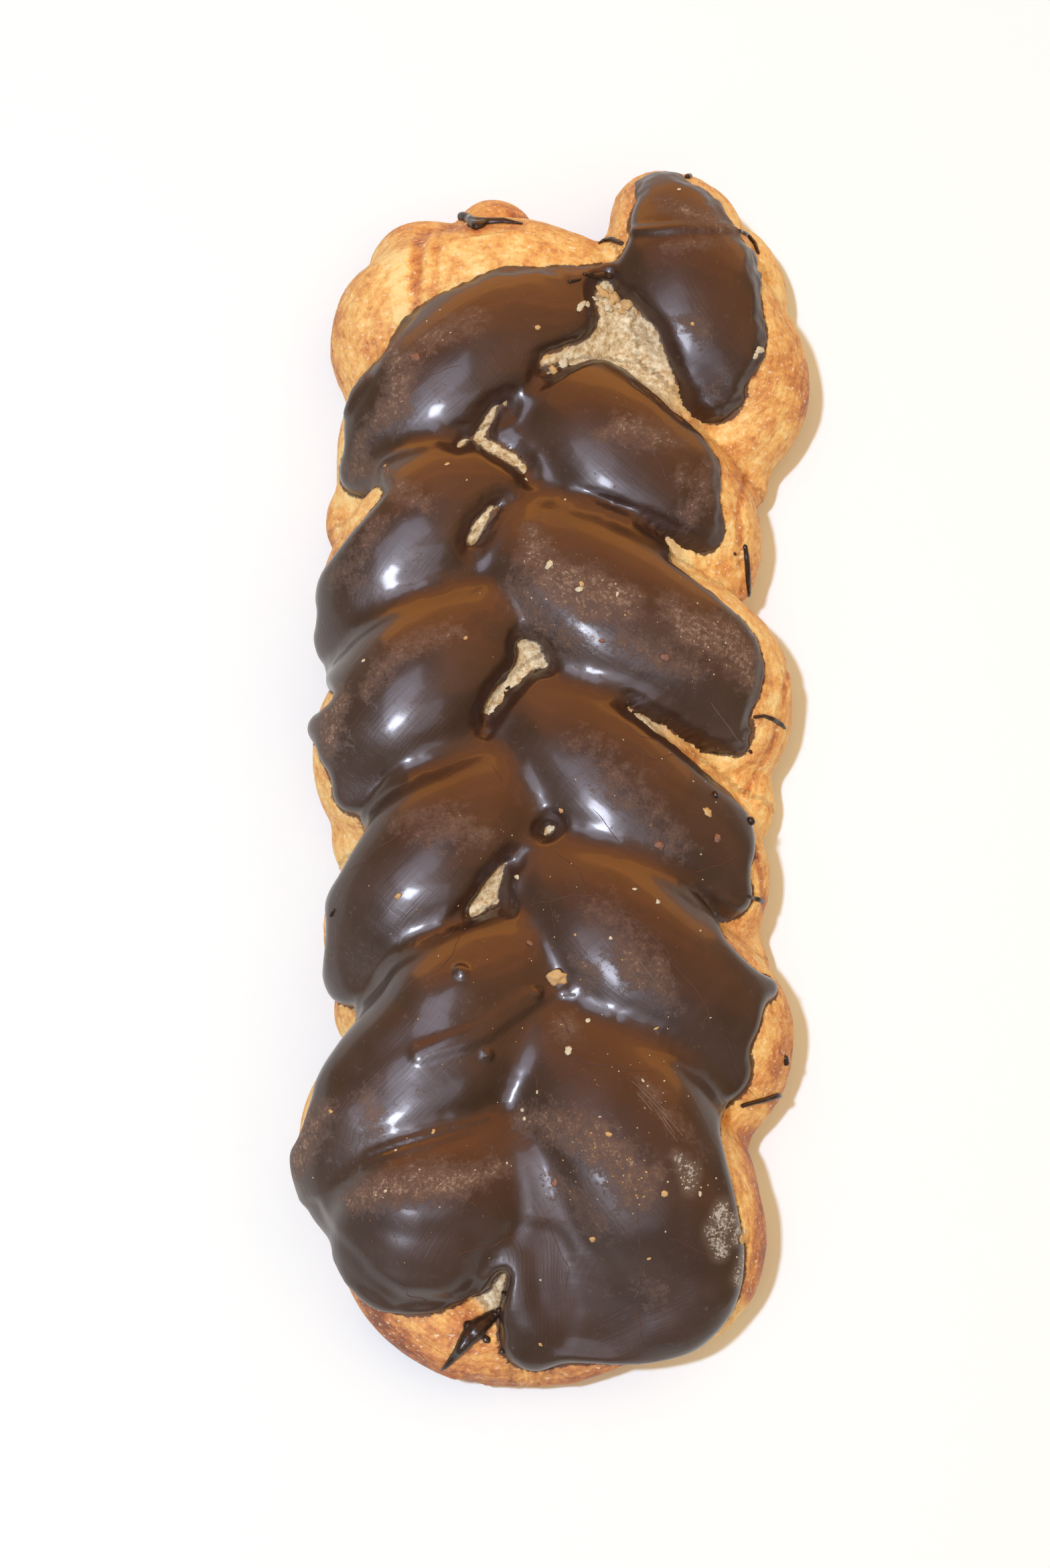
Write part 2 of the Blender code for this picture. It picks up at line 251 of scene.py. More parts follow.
def add_strand(which, profile):
    """Tube through a strand's points, and the points of its centre line in millimetres."""
    bpy.ops.curve.primitive_bezier_curve_add()
    strand = bpy.context.object
    strand.name = f"strand_{which}"
    curve = strand.data
    curve.twist_mode = "Z_UP"
    curve.resolution_u = 12
    route = strand_points(which)
    spline = curve.splines[0]
    spline.bezier_points.add(len(route) - len(spline.bezier_points))
    for point, (x, y, z, girth) in zip(spline.bezier_points, route):
        point.co = (x * MM, y * MM, z * MM)
        point.radius = girth
        point.handle_left_type = point.handle_right_type = "AUTO"
    view = bpy.context.evaluated_depsgraph_get()
    line = bpy.data.meshes.new_from_object(strand.evaluated_get(view))
    centre = points_of(line)
    curve.bevel_mode = "OBJECT"
    curve.bevel_object = profile
    curve.use_fill_caps = True
    pick(strand)
    bpy.ops.object.convert(target="MESH")
    return bpy.context.object, centre


def points_of(mesh):
    """Vertex positions as rows, in millimetres."""
    flat = np.empty(len(mesh.vertices) * 3)
    mesh.vertices.foreach_get("co", flat)
    return flat.reshape(-1, 3) / MM


def normals_of(mesh):
    flat = np.empty(len(mesh.vertices) * 3)
    mesh.vertex_normals.foreach_get("vector", flat)
    return flat.reshape(-1, 3)


def place_points(mesh, points):
    mesh.vertices.foreach_set("co", (points * MM).ravel())
    mesh.update()


def search_tree(*pieces):
    """Search tree of the surfaces of these pieces together, in millimetres."""
    corners, faces = [], []
    for piece in pieces:
        first = len(corners)
        corners += points_of(piece.data).tolist()
        faces += [[first + k for k in face.vertices] for face in piece.data.polygons]
    return BVHTree.FromPolygons(corners, faces)


def push_out(mesh, distances):
    """Moves each vertex along its normal by its own distance in millimetres."""
    place_points(mesh, points_of(mesh) + normals_of(mesh) * np.reshape(distances, (-1, 1)))


def grain_noise(points, size_mm, seed=0.0):
    """Noise of about -1 to 1 with features of that size."""
    shift = Vector((seed, seed * 1.7, seed * 0.6))
    return np.array([noise.noise(Vector(p) + shift) for p in points / size_mm])


def chain_distance(points, stations):
    """Plan distance to a chain of tapered round-ended bars, negative inside."""
    nearest = np.full(len(points), np.inf)
    for (ax, ay, ar), (bx, by, br) in zip(stations, stations[1:]):
        along = np.array((bx - ax, by - ay))
        part = np.clip((points[:, :2] - (ax, ay)) @ along / (along @ along), 0, 1)
        across = points[:, :2] - (ax, ay) - part[:, None] * along
        nearest = np.minimum(nearest, np.hypot(*across.T) - ar - part * (br - ar))
    return nearest


def nearest_chain(points, chains):
    """Plan distance to the nearest of these chains."""
    return np.min([chain_distance(points, stations) for stations in chains], axis=0)


def blend_min(a, b, radius):
    """Smaller of two distances, with a fillet where they meet."""
    mix = np.clip(0.5 + 0.5 * (b - a) / radius, 0, 1)
    return b + (a - b) * mix - radius * mix * (1 - mix)


def soft_step(values):
    """0 below 0, 1 above 1, and smooth between."""
    t = np.clip(values, 0, 1)
    return t * t * (3 - 2 * t)


bpy.ops.curve.primitive_bezier_circle_add(radius=1)
profile = bpy.context.object
profile.data.resolution_u = 6
profile.scale = (strand_wide / 2 * MM, strand_high / 2 * MM, 1)
pick(profile)
bpy.ops.object.transform_apply(scale=True)

strands, centres = zip(*[add_strand(k, profile) for k in range(3)])
balls = []
for centre, half in lumps:
    bpy.ops.mesh.primitive_uv_sphere_add(segments=48, ring_count=24, radius=MM)
    ball = bpy.context.object
    ball.scale = half
    ball.location = Vector(centre) * MM
    pick(ball)
    bpy.ops.object.transform_apply(location=True, scale=True)
    balls.append(ball)
pick(*balls, *strands)
bpy.ops.object.join()
dough = bpy.context.object
dough.name = "plaited_dough"
bpy.data.objects.remove(profile)
dough.data.name = "plaited_dough"
melt(dough, dough_cell_mm, bake_sigma)

# Coordinates that follow the strands: millimetres along, millimetres round, and which strand.
centre_step_mm = 0.4
centre_points, centre_along, centre_side, centre_up = [], [], [], []
centre_strand = []
for which, line in enumerate(centres):
    steps = np.linalg.norm(np.diff(line, axis=0), axis=1)
    along = np.concatenate(([0], np.cumsum(steps)))
    wanted = np.arange(0, along[-1], centre_step_mm)
    fine = np.stack([np.interp(wanted, along, line[:, k]) for k in range(3)], axis=1)
    ahead = np.gradient(fine, axis=0)
    ahead /= np.linalg.norm(ahead, axis=1)[:, None]
    side = np.cross(ahead, (0, 0, 1))
    side /= np.linalg.norm(side, axis=1)[:, None]
    centre_points.append(fine)
    centre_along.append(wanted)
    centre_side.append(side)
    centre_up.append(np.cross(side, ahead))
    centre_strand.append(np.full(len(fine), which))
centre_points = np.vstack(centre_points)
centre_along = np.concatenate(centre_along)
centre_side = np.vstack(centre_side)
centre_up = np.vstack(centre_up)
centre_strand = np.concatenate(centre_strand)
centre_tree = KDTree(len(centre_points))
for n, point in enumerate(centre_points):
    centre_tree.insert(point, n)
centre_tree.balance()


def strand_coordinates(points):
    """Along, round and strand number of each point, from the nearest strand's centre line."""
    near = np.array([centre_tree.find(p)[1] for p in points])
    arm = points - centre_points[near]
    side = np.einsum("ij,ij->i", arm, centre_side[near])
    up = np.einsum("ij,ij->i", arm, centre_up[near])
    angle = np.arctan2(side, up)
    return np.stack((centre_along[near], angle * strand_wide / 2, centre_strand[near] * 100.0), axis=1)


bare_dough = dough.data.copy()      # the chocolate is shaped on this skin later

# Hollows between the lobes where the crust never browned and no chocolate lies: stations of
# picture pixels and half width in millimetres.
hollows = (
    ((903, 428, 1.3), (905, 450, 2.6), (925, 480, 4.2), (950, 525, 5.0), (985, 575, 3.8), (1022, 622, 2.0)),
    ((905, 520, 2.4), (880, 528, 1.4), (858, 540, 1.0), (836, 550, 0.85), (806, 566, 0.7)),
    ((757, 599, 0.75), (754, 604, 0.75)),
    (
        (739, 608, 0.8), (730, 625, 1.15), (721, 641, 1.1), (716, 654, 1.4), (742, 674, 1.6),
        (765, 686, 1.6), (779, 698, 1.1), (787, 714, 0.6),
    ),
    ((697, 653, 0.8), (684, 667, 0.9)),
    ((743, 754, 0.6), (732, 763, 0.9), (721, 777, 1.25), (712, 792, 1.35), (703, 808, 1.1)),
    ((780, 962, 1.5), (792, 974, 2.4), (806, 988, 1.7), (822, 998, 0.6)),
    (
        (790, 985, 2.1), (774, 1006, 1.7), (753, 1028, 1.6), (736, 1049, 1.45), (727, 1068, 1.2),
        (722, 1086, 0.8),
    ),
    (
        (936, 1054, 0.8), (946, 1066, 0.9), (960, 1074, 1.1), (978, 1086, 1.7), (990, 1092, 1.7),
        (1002, 1104, 1.6), (1022, 1118, 2.0), (1050, 1138, 2.7), (1085, 1157, 3.8), (1110, 1167, 4.4),
    ),
    ((966, 787, 0.6), (988, 800, 1.0), (1014, 818, 1.4), (1048, 846, 2.1), (1085, 872, 3.0)),
    (
        (761, 1287, 0.8), (750, 1297, 0.9), (742, 1312, 1.4), (733, 1328, 1.8), (722, 1346, 1.9),
        (704, 1362, 1.4), (690, 1377, 0.7),
    ),
    ((734, 1340, 1.2), (748, 1349, 0.9), (757, 1359, 0.7)),
    ((814, 1243, 1.15), (827, 1233, 1.15)),
    ((752, 1904, 0.8), (741, 1930, 1.5), (728, 1952, 2.4), (712, 1985, 4.2), (700, 2020, 6.0)),
)
# Folds and darker or paler places of the crust: stations, softness, depth and how much darker.
# The darker folds, outer rims and ends are painted shade as well as browner crust.
crust_marks = (
    (((-28.5, 107, 0.6), (-30.1, 98.8, 0.7), (-30.2, 91.4, 0.7), (-29.3, 86, 0.4)), 1.4, -0.7, 0.40),
    (((-26, 104, 0.3), (-26.3, 95.3, 0.4), (-26.2, 88.8, 0.3)), 1.0, -0.3, 0.25),
    (((-33.2, 98, 1.0), (-33.0, 90, 1.2), (-32.5, 86, 0.8)), 2.0, 0.2, -0.30),
    (((-23.5, 109.5, 1), (-16, 113.5, 2.5), (-9, 111.5, 1)), 2.5, 0.0, 0.30),
    (((-25, 106.2, 1), (-18.5, 104.8, 1.4), (-11, 105.6, 1)), 1.8, -0.9, 0.40),
    (((-47, 96, 1), (-49, 80, 1), (-47, 68, 1)), 4.5, 0.0, 0.35),
    (((-40, 107, 1), (-32, 110, 1)), 4.0, 0.0, 0.30),
    (((12, 113, 1), (15, 118, 1)), 3.0, 0.0, 0.35),
    (((50, 80, 1), (49, 66, 1), (43, 54, 1)), 5.0, 0.0, 0.30),
    (((36, 60, 0.1), (34.5, 50, 0.2), (35.5, 40, 0.1)), 0.8, -0.4, 0.35),
    (((46, 24, 0.1), (43, 6, 0.2), (38, -4, 0.1)), 0.8, -0.4, 0.35),
    (((33, -6, 0.1), (40, -16, 0.2), (42.5, -26, 0.1)), 0.8, -0.4, 0.35),
    (((46, 44, 1), (47, 30, 1)), 3.5, 0.0, 0.25),
    (((47, -32, 1), (49, -48, 1), (46, -62, 1)), 4.0, 0.0, 0.30),
    (((42, -70, 1), (45, -84, 1), (42, -98, 1)), 3.5, 0.0, 0.45),
    (((-30, -104, 1), (-18, -117, 1), (0, -121.5, 1), (18, -118, 1)), 3.0, 0.0, 0.40),
    (((-48, 50, 1), (-46, 36, 1)), 3.0, 0.0, 0.25),
    (((-24, -106, 3), (-6, -112, 5), (16, -114, 3)), 6.0, 0.0, 0.30),
)
# The crust's relief: heights, then how wide the wrinkles, swellings and pits are.
wrinkle_mm, swell_mm, pit_mm = 0.26, 0.32, 0.32
wrinkle_wide_mm, swell_wide_mm, pit_wide_mm = 1.9, 9.0, 1.8
wrinkle_stretch = 3.2       # how much longer a wrinkle is along the strand
# The crumb's own relief: fine and coarse tears, with how wide they are.
tear_low_mm, tear_high_mm, tear_fine_mm, tear_coarse_mm = 0.55, 0.5, 2.0, 4.5


def under_pixel(tree, across, down):
    """Point and normal of the surface that the camera sees at a picture pixel, in the laid-out frame."""
    start = (look_at + away * distance_mm * MM) / MM + Vector((*stand_mm, 0))
    right = (-away).cross(Vector((0, 0, 1))).normalized()
    up = right.cross(-away)
    aside = right * (across - picture_middle[0]) + up * (picture_middle[1] - down)
    hit, normal, _, _ = tree.ray_cast(start, aside / pixels_per_mm - away * distance_mm)
    return hit, normal


def laid_out(tree, stations):
    """Stations of picture pixels and half width as stations of x, y and half width."""
    hits = [(under_pixel(tree, across, down)[0], wide) for across, down, wide in stations]
    return [(hit.x, hit.y, wide) for hit, wide in hits if hit]


def as_object(name, mesh):
    item = bpy.data.objects.new(name, mesh)
    bpy.context.scene.collection.objects.link(item)
    return item


# The skin with its creases closed, up to which the crumb wells in the hollows. It is the dough
# thickened, melted and thinned again.
close_mm, close_cell_mm, close_sigma = 3.0, 1.2, 4.0
crumb_sigma = 0.8
crumb_below_mm = 0.6        # how far below that skin the crumb has stopped
well_mm, well_soft_mm = 1.0, 2.5    # how far past a hollow's edge the crumb wells, and how softly it ends
upper_side_mm = 5           # below this height the crust is plain
closed = as_object("closed_creases", dough.data.copy())
push_out(closed.data, np.full(len(closed.data.vertices), close_mm))
melt(closed, close_cell_mm, close_sigma)
push_out(closed.data, np.full(len(closed.data.vertices), -close_mm))
closed_tree = search_tree(closed)
bpy.data.objects.remove(closed)
coat_gaps = [laid_out(closed_tree, stations) for stations in hollows]

crust_points = points_of(dough.data)
welled = np.zeros(len(crust_points))
gap_reach = nearest_chain(crust_points, coat_gaps)
for n in np.flatnonzero((gap_reach < well_mm + well_soft_mm) & (crust_points[:, 2] > upper_side_mm + 1)):
    start = Vector(crust_points[n])
    hit = closed_tree.ray_cast(start + Vector((0, 0, 30)), (0, 0, -1), 30)[0]
    if hit:
        share = 1 - soft_step((gap_reach[n] - well_mm) / well_soft_mm)
        welled[n] = max(0, hit.z - crumb_below_mm - start.z) * share
place_points(dough.data, crust_points + np.outer(welled, (0, 0, 1)))
melt(dough, dough_cell_mm, crumb_sigma)
smooth_dough = search_tree(dough)

crust_points = points_of(dough.data)
crust_grain = strand_coordinates(crust_points)
gap_reach = nearest_chain(crust_points, coat_gaps)
upper = crust_points[:, 2] > upper_side_mm
open_crumb = upper * (1 - soft_step((gap_reach - 0.4) / 1.4))
relief = wrinkle_mm * grain_noise(crust_grain / (wrinkle_stretch, 1, 1), wrinkle_wide_mm, 3)
relief += swell_mm * grain_noise(crust_points, swell_wide_mm)
relief -= pit_mm * soft_step(grain_noise(crust_points, pit_wide_mm, 7) * 2.5 - 0.9) * (1 - open_crumb)
tears = tear_low_mm * grain_noise(crust_points, tear_fine_mm, 21)
relief += open_crumb * (tears + tear_high_mm * grain_noise(crust_points, tear_coarse_mm, 8))
for stations, soft, depth, _ in crust_marks:
    if depth:
        relief += upper * depth * (1 - soft_step(chain_distance(crust_points, stations) / soft))
push_out(dough.data, relief)


def cut_flat(piece):
    """Cuts the underside flat at the floor and closes it."""
    pick(piece)
    bpy.ops.object.mode_set(mode="EDIT")
    bpy.ops.mesh.select_all(action="SELECT")
    bpy.ops.mesh.bisect(
        plane_co=(0, 0, 0), plane_no=(0, 0, 1), use_fill=True, clear_inner=True, threshold=0.001 * MM
    )
    bpy.ops.mesh.select_all(action="DESELECT")
    bpy.ops.object.mode_set(mode="OBJECT")


cut_flat(dough)


def settle(piece):
    """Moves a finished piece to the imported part's frame, smooths it and hands it over."""
    piece.data.transform(Matrix.Translation((-stand_mm[0] * MM, -stand_mm[1] * MM, 0)))
    pick(piece)
    bpy.ops.object.shade_smooth()
    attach(piece, "root")


def give_number(mesh, name, values):
    """Stores one number on each vertex."""
    mesh.attributes.new(name, "FLOAT", "POINT").data.foreach_set("value", np.asarray(values, float))


def give_vector(mesh, name, rows):
    """Stores three numbers on each vertex."""
    stored = mesh.attributes.new(name, "FLOAT_VECTOR", "POINT")
    stored.data.foreach_set("vector", np.asarray(rows, float).ravel())


# How dark the crust is, browned and with painted shade at its folds, rims and ends, and where the pale inner
# dough shows.
crust_points = points_of(dough.data)
baked = 0.25 * grain_noise(crust_points, 16, 11)
for stations, soft, _, darker in crust_marks:
    baked += darker * (1 - soft_step(chain_distance(crust_points, stations) / soft))
pale = [*coat_gaps[:-1], coat_gaps[-1][:2]]     # the last hollow browned but for its upper tip
cream = 1 - soft_step((nearest_chain(crust_points, pale) - 1.2) / 1.6)
cream *= 1 - soft_step((crust_points[:, 0] - 17) / 10)    # browned again towards the right side
give_vector(dough.data, "grain", strand_coordinates(crust_points))
give_number(dough.data, "baked", baked)
give_number(dough.data, "cream", cream * (crust_points[:, 2] > 8))

# Crust of yeast dough, brushed and baked: dry and matt, golden, with darker streaks along the
# strands and flour-pale specks. Where the lobes part, the torn inner dough is cream, and by the
# coat's edge it is smeared with chocolate.
crust, tree, shader = new_material("baked_yeast_crust")
place = add_node(tree, "TexCoord").outputs["Object"]
grain = add_node(tree, "Attribute", attribute_name="grain").outputs["Vector"]
baked, cream, smear = [
    add_node(tree, "Attribute", attribute_name=name).outputs["Fac"] for name in ("baked", "cream", "smear")
]
along_grain = add_node(tree, "Mapping", {"Vector": grain, "Scale": (1 / 6, 1 / 1.6, 1)}).outputs["Vector"]
streaks = add_node(
    tree, "TexNoise", {"Vector": along_grain, "Scale": 1, "Detail": 4, "Roughness": 0.6}
).outputs["Fac"]
# Size in millimetres, detail and roughness of each pattern.
blotches, mottle, flour = [
    add_node(
        tree, "TexNoise", {"Vector": place, "Scale": 1000 / size_mm, "Detail": detail, "Roughness": rough}
    ).outputs["Fac"]
    for size_mm, detail, rough in ((4.5, 4, 0.6), (1.2, 4, 0.7), (0.9, 2, 0.5))
]
tone = -0.77
# Browning and painted shade at the folds, rims and ends darken the tone.
for pattern, share in ((streaks, 0.6), (blotches, 1.0), (mottle, 0.8), (baked, 0.75)):
    tone = add_node(tree, "Math", {0: pattern, 1: share, 2: tone}, operation="MULTIPLY_ADD").outputs[0]
shades = add_node(tree, "ValToRGB", {"Fac": tone})
ramp = shades.color_ramp
ramp.elements[0].position, ramp.elements[0].color = 0.20, srgb("#fad692")
ramp.elements[1].position, ramp.elements[1].color = 1.0, srgb("#8a4824")
for position, colour in ((0.40, "#f3ba6e"), (0.58, "#e09a55"), (0.80, "#bd6f3c")):
    ramp.elements.new(position).color = srgb(colour)
spots = add_node(tree, "MapRange", {"Value": flour, 1: 0.62, 2: 0.72, 3: 0.0, 4: 0.7}).outputs[0]
crumbled = add_node(tree, "MapRange", {"Value": mottle, 1: 0.35, 2: 0.65, 3: 0, 4: 1}).outputs[0]
inner = add_node(
    tree, "MixRGB", {"Fac": crumbled, "Color1": srgb("#b08a5a"), "Color2": srgb("#f4e4c4")}
).outputs["Color"]
stain = -0.45
for pattern, share in ((streaks, 0.9), (mottle, 1.6), (smear, 1.0)):
    stain = add_node(tree, "Math", {0: pattern, 1: share, 2: stain}, operation="MULTIPLY_ADD").outputs[0]
stain = add_node(tree, "MapRange", {"Value": stain, 1: 1.15, 2: 1.45, 3: 0, 4: 0.9}).outputs[0]
tint = shades.outputs["Color"]
for share, colour in ((spots, srgb("#fbe9cc")), (cream, inner), (stain, srgb("#47261a"))):
    tint = add_node(tree, "MixRGB", {"Fac": share, "Color1": tint, "Color2": colour}).outputs["Color"]
tree.links.new(tint, shader.inputs["Base Color"])
dull = add_node(tree, "MapRange", {"Value": tone, 1: 0.3, 2: 1.0, 3: 0.70, 4: 0.50})
tree.links.new(dull.outputs[0], shader.inputs["Roughness"])
rough = add_node(tree, "Math", {0: streaks, 1: mottle}, operation="ADD")
bump = add_node(tree, "Bump", {"Height": rough.outputs[0], "Strength": 0.6, "Distance": 0.6 * MM})
tree.links.new(bump.outputs["Normal"], shader.inputs["Normal"])
dough.data.materials.clear()
dough.data.materials.append(crust)
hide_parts("dough")


# ------------------------------------------------------------------------------------------------
# Chocolate coat. Dark chocolate poured over the plait while warm: it ran together in the creases,
# set with rounded lips at the left and the lower end, and broke off raggedly at the right.
# ------------------------------------------------------------------------------------------------
coat_mm = 2.3
lip_fluid_mm, lip_torn_mm = 2.6, 0.7    # how far in from the edge the coat reaches its full height
lip_round = 2.4             # how steeply a lip rises
fluid_mm, tear_mm = 2.5, 0.8            # fillets of the outline where it flowed and where it tore
coat_low_mm = 11.5          # no chocolate ran below this height
undercut_mm = 8.0           # how far the edge draws back where the side turns right under
skirt_mm, sink_mm = 1.2, 1.6            # strip outside the edge that dips below the crust
reach_mm = 14.0             # deepest pool
backing_mm = 1.6            # how far the coat's inner skin lies below the crust, until it is cut
overlap_mm = 0.6            # how far the coat still reaches into the crust after the cut
hollow_cell_mm = 1.6
least_vertices = 400        # smaller bodies than this are scraps of the cut
pool_mm = 2.6               # radius of the fillets where it ran together
pool_cell_mm, pool_sigma = 1.1, 4.0
coat_cell_mm, coat_sigma = 0.65, 2.0
# Where chocolate lies, by stations of x, y and half width: the middle, then lobe by lobe.
coat_fill = (
    ((-11, 72, 6), (-12, 50, 17), (-6, 20, 22), (-4, -15, 23), (-2, -45, 27), (-1, -72, 30), (4, -84, 20)),
    ((0, 92, 3), (6.5, 96.2, 1.4), (12, 96, 2)),
    ((-15, 60, 6), (-30, 53, 5)),
    ((0, 46, 6), (15, 40, 6)),
    ((-18, 30, 7), (-38, 16, 6)),
    ((-18, -1, 7), (-31, -12, 4)),
    ((8, -18, 8), (28, -33, 5)),
    ((-15, -34, 7), (-29, -47, 5)),
    ((12, -52, 8), (28, -65, 7)),
    ((-15, -70, 9), (-38, -82, 8)),
    ((2, -106, 8), (14, -104, 9)),
)
coat_lobes = (
    ((17.5, 113, 5), (20.5, 105, 9.3), (23, 94, 13.8), (27, 84, 11.5), (29, 74.5, 6.2)),
    ((-2, 87.5, 8), (-12, 84.3, 9.9), (-20.8, 77.8, 12.3), (-33, 64.3, 9.4), (-37.8, 57, 5.5)),
    ((-5.5, 64, 6), (5, 64, 13.5), (20.3, 55.5, 10), (26.6, 46, 5)),
    ((-13, 53.5, 3.5), (-25, 41.5, 10.7), (-37, 30.5, 9), (-42.7, 23, 4.4)),
    ((-9.5, 37, 8), (8.5, 29, 13.8), (27.6, 18, 12.4), (32.6, 7.2, 6)),
    ((-13, 24, 7), (-23.5, 14, 13.2), (-35.5, 2, 8.8), (-36.3, -6.5, 5)),
    ((-36, 4, 6), (-43.8, 5, 2.6)),
    ((-3, 5, 7.6), (14.5, -3.5, 12.5), (29, -15, 10.5), (34.5, -24, 5)),
    ((-10, -7, 7.6), (-21, -16.5, 11.3), (-32, -30, 9), (-35.5, -42, 5.8)),
    ((2, -21.5, 7), (14.5, -33, 13.2), (29, -47, 12.6), (33.5, -57.5, 7)),
    ((30, -44, 8), (42, -42.5, 2.6)),
    ((-1, -39.5, 7.6), (-14.5, -49, 13.3), (-30, -66, 11.5), (-39.5, -77.5, 5.8)),
    ((9, -54, 5.7), (17, -70, 16.3), (21.5, -94, 18.7)),
    ((-7, -78, 9), (-21.5, -90, 15.8), (-33.7, -88, 9)),
    ((3, -95, 6.3), (1.5, -107.5, 7)),
)
# Where the edge broke instead of flowing: the top and the right side above the middle.
torn_edges = (
    ((14, 117, 4), (34, 106, 6), (38, 92, 6), (37, 80, 6), (32, 66, 4)),
    ((-2, 97, 4), (-20, 92, 5), (-40, 76, 4)),
    ((31, 62, 3), (34, 50, 4), (33, 40, 4), (44, 24, 4), (42, 8, 5), (36, 0, 4)),
)


def coat_distance(points, heights):
    """Distance outside the coat's outline, negative where chocolate lies."""
    outside = np.full(len(points), 1e3)
    for stations in coat_fill + coat_lobes:
        outside = blend_min(outside, chain_distance(points, stations), fluid_mm)
    for stations in coat_gaps:
        outside = -blend_min(-outside, chain_distance(points, stations), tear_mm)
    return -blend_min(-outside, heights - coat_low_mm, fluid_mm)


# Forms of the set chocolate, by stations of picture pixels and half width in millimetres, then
# softness and height: the shelf round the lower left lobe, the valley beside the tongue, brush
# ridges, swellings, dents, folds and beads.
coat_forms = (
    (((478, 1800, 0.6), (505, 1850, 0.8), (545, 1905, 0.8), (600, 1938, 0.7), (660, 1940, 0.5)), 2.4, -0.8),
    (((462, 1815, 0.5), (487, 1865, 0.6), (525, 1918, 0.6), (590, 1955, 0.6), (700, 1955, 0.4)), 1.6, 0.35),
    (((838, 1880, 0.3), (841, 1940, 0.4), (844, 1990, 0.3)), 3.0, -0.18),
    (((775, 1842, 0.8), (800, 1850, 1.4), (825, 1845, 0.8)), 5.0, -0.6),
    (((570, 1858, 2.0), (625, 1874, 2.4), (690, 1864, 2.0)), 6.5, -1.5),
    (((560, 1722, 0.1), (640, 1698, 0.2), (722, 1673, 0.1)), 0.9, 0.35),
    (((556, 1744, 0.1), (640, 1717, 0.2), (700, 1695, 0.1)), 0.9, 0.25),
    (((640, 1452, 2.0), (700, 1440, 2.5), (765, 1425, 1.5)), 7.0, 0.8),
    (((560, 1610, 2.0), (650, 1570, 2.5), (735, 1535, 2.0)), 7.0, -0.9),
    (((552, 572, 0.3), (533, 598, 0.6), (524, 616, 0.4)), 2.2, 1.0),
    (((925, 356, 0.2), (990, 352, 0.3), (1060, 350, 0.4), (1105, 352, 0.4)), 1.1, 0.55),
    (((860, 1475, 0.3), (788, 1490, 0.5), (755, 1511, 0.5), (713, 1543, 0.5), (629, 1574, 0.3)), 2.2, 0.55),
    (((945, 583, 0.1), (985, 612, 0.3), (1012, 634, 0.1)), 1.0, -0.6),
    (((737, 920, 1.0), (741, 924, 1.0)), 5.0, 0.7),
    (((691, 1461, 0.3), (693, 1462, 0.3)), 1.3, 1.0),
    (((788, 1485, 0.2), (790, 1485, 0.2)), 1.0, 0.7),
    (((722, 1571, 0.2), (724, 1572, 0.2)), 1.1, 0.8),
)
# Where chocolate stood deep and level, in the crease round the root of the tongue.
still_pool = ((800, 1750, 2), (825, 1840, 4), (858, 1920, 6), (900, 1950, 5))
still_soft_mm, still_rounds = 6, 220


def torn_share(points):
    """1 where the coat's edge is torn, 0 where it flowed."""
    nearest = nearest_chain(points, torn_edges)
    gap = nearest_chain(points, coat_gaps[:-1])
    return 1 - soft_step(np.minimum(nearest / 4, (gap - 1.5) / 3))


def closed_shell(mesh, keep, outer, inner):
    """Closed body between two skins that share the kept faces, with a rim along the open edge."""
    body = bmesh.new()
    body.from_mesh(mesh)
    origin = body.verts.layers.int.new("origin")
    for vertex in body.verts:
        vertex[origin] = vertex.index
    bmesh.ops.delete(body, geom=[v for v in body.verts if not keep[v.index]], context="VERTS")
    pinched = [True]
    while pinched:
        pinched = [
            v for v in body.verts if not v.link_faces or sum(e.is_boundary for e in v.link_edges) > 2
        ]
        bmesh.ops.delete(body, geom=pinched, context="VERTS")
    body.verts.index_update()
    count = len(body.verts)
    rows = [v[origin] for v in body.verts]
    faces = [[v.index for v in face.verts] for face in body.faces]
    rims = []
    for face in body.faces:
        for loop in face.loops:
            if loop.edge.is_boundary:
                a, b = loop.vert.index, loop.link_loop_next.vert.index
                rims.append((b, a, a + count, b + count))
    body.free()
    shell = bpy.data.meshes.new(mesh.name)
    backs = [[k + count for k in reversed(face)] for face in faces]
    shell.from_pydata(np.vstack((outer[rows], inner[rows])) * MM, [], faces + backs + rims)
    return shell


coat = as_object("chocolate_coat", bare_dough.copy())
push_out(coat.data, np.full(len(coat.data.vertices), coat_mm + pool_mm))
melt(coat, pool_cell_mm, pool_sigma)
push_out(coat.data, np.full(len(coat.data.vertices), -pool_mm))
melt(coat, coat_cell_mm, coat_sigma)

points = points_of(coat.data)
normals = normals_of(coat.data)
depth = []
for point, normal in zip(points, normals):
    hit, _, _, far = smooth_dough.ray_cast(point, -normal, reach_mm)
    if hit is None:
        hit, _, _, far = smooth_dough.find_nearest(point)
    depth.append(far)
depth = np.array(depth)


def settled(mesh, values, rounds):
    """Values averaged with their neighbours on a mesh, so many times over."""
    ends = np.empty(len(mesh.edges) * 2, int)
    mesh.edges.foreach_get("vertices", ends)
    links = np.bincount(ends, minlength=len(values))
    ends = ends.reshape(-1, 2)
    for _ in range(rounds):
        total = np.bincount(ends[:, 0], values[ends[:, 1]], len(values))
        values = (total + np.bincount(ends[:, 1], values[ends[:, 0]], len(values))) / links
    return values


depth = settled(coat.data, depth, 8)
foot = points - normals * depth[:, None]

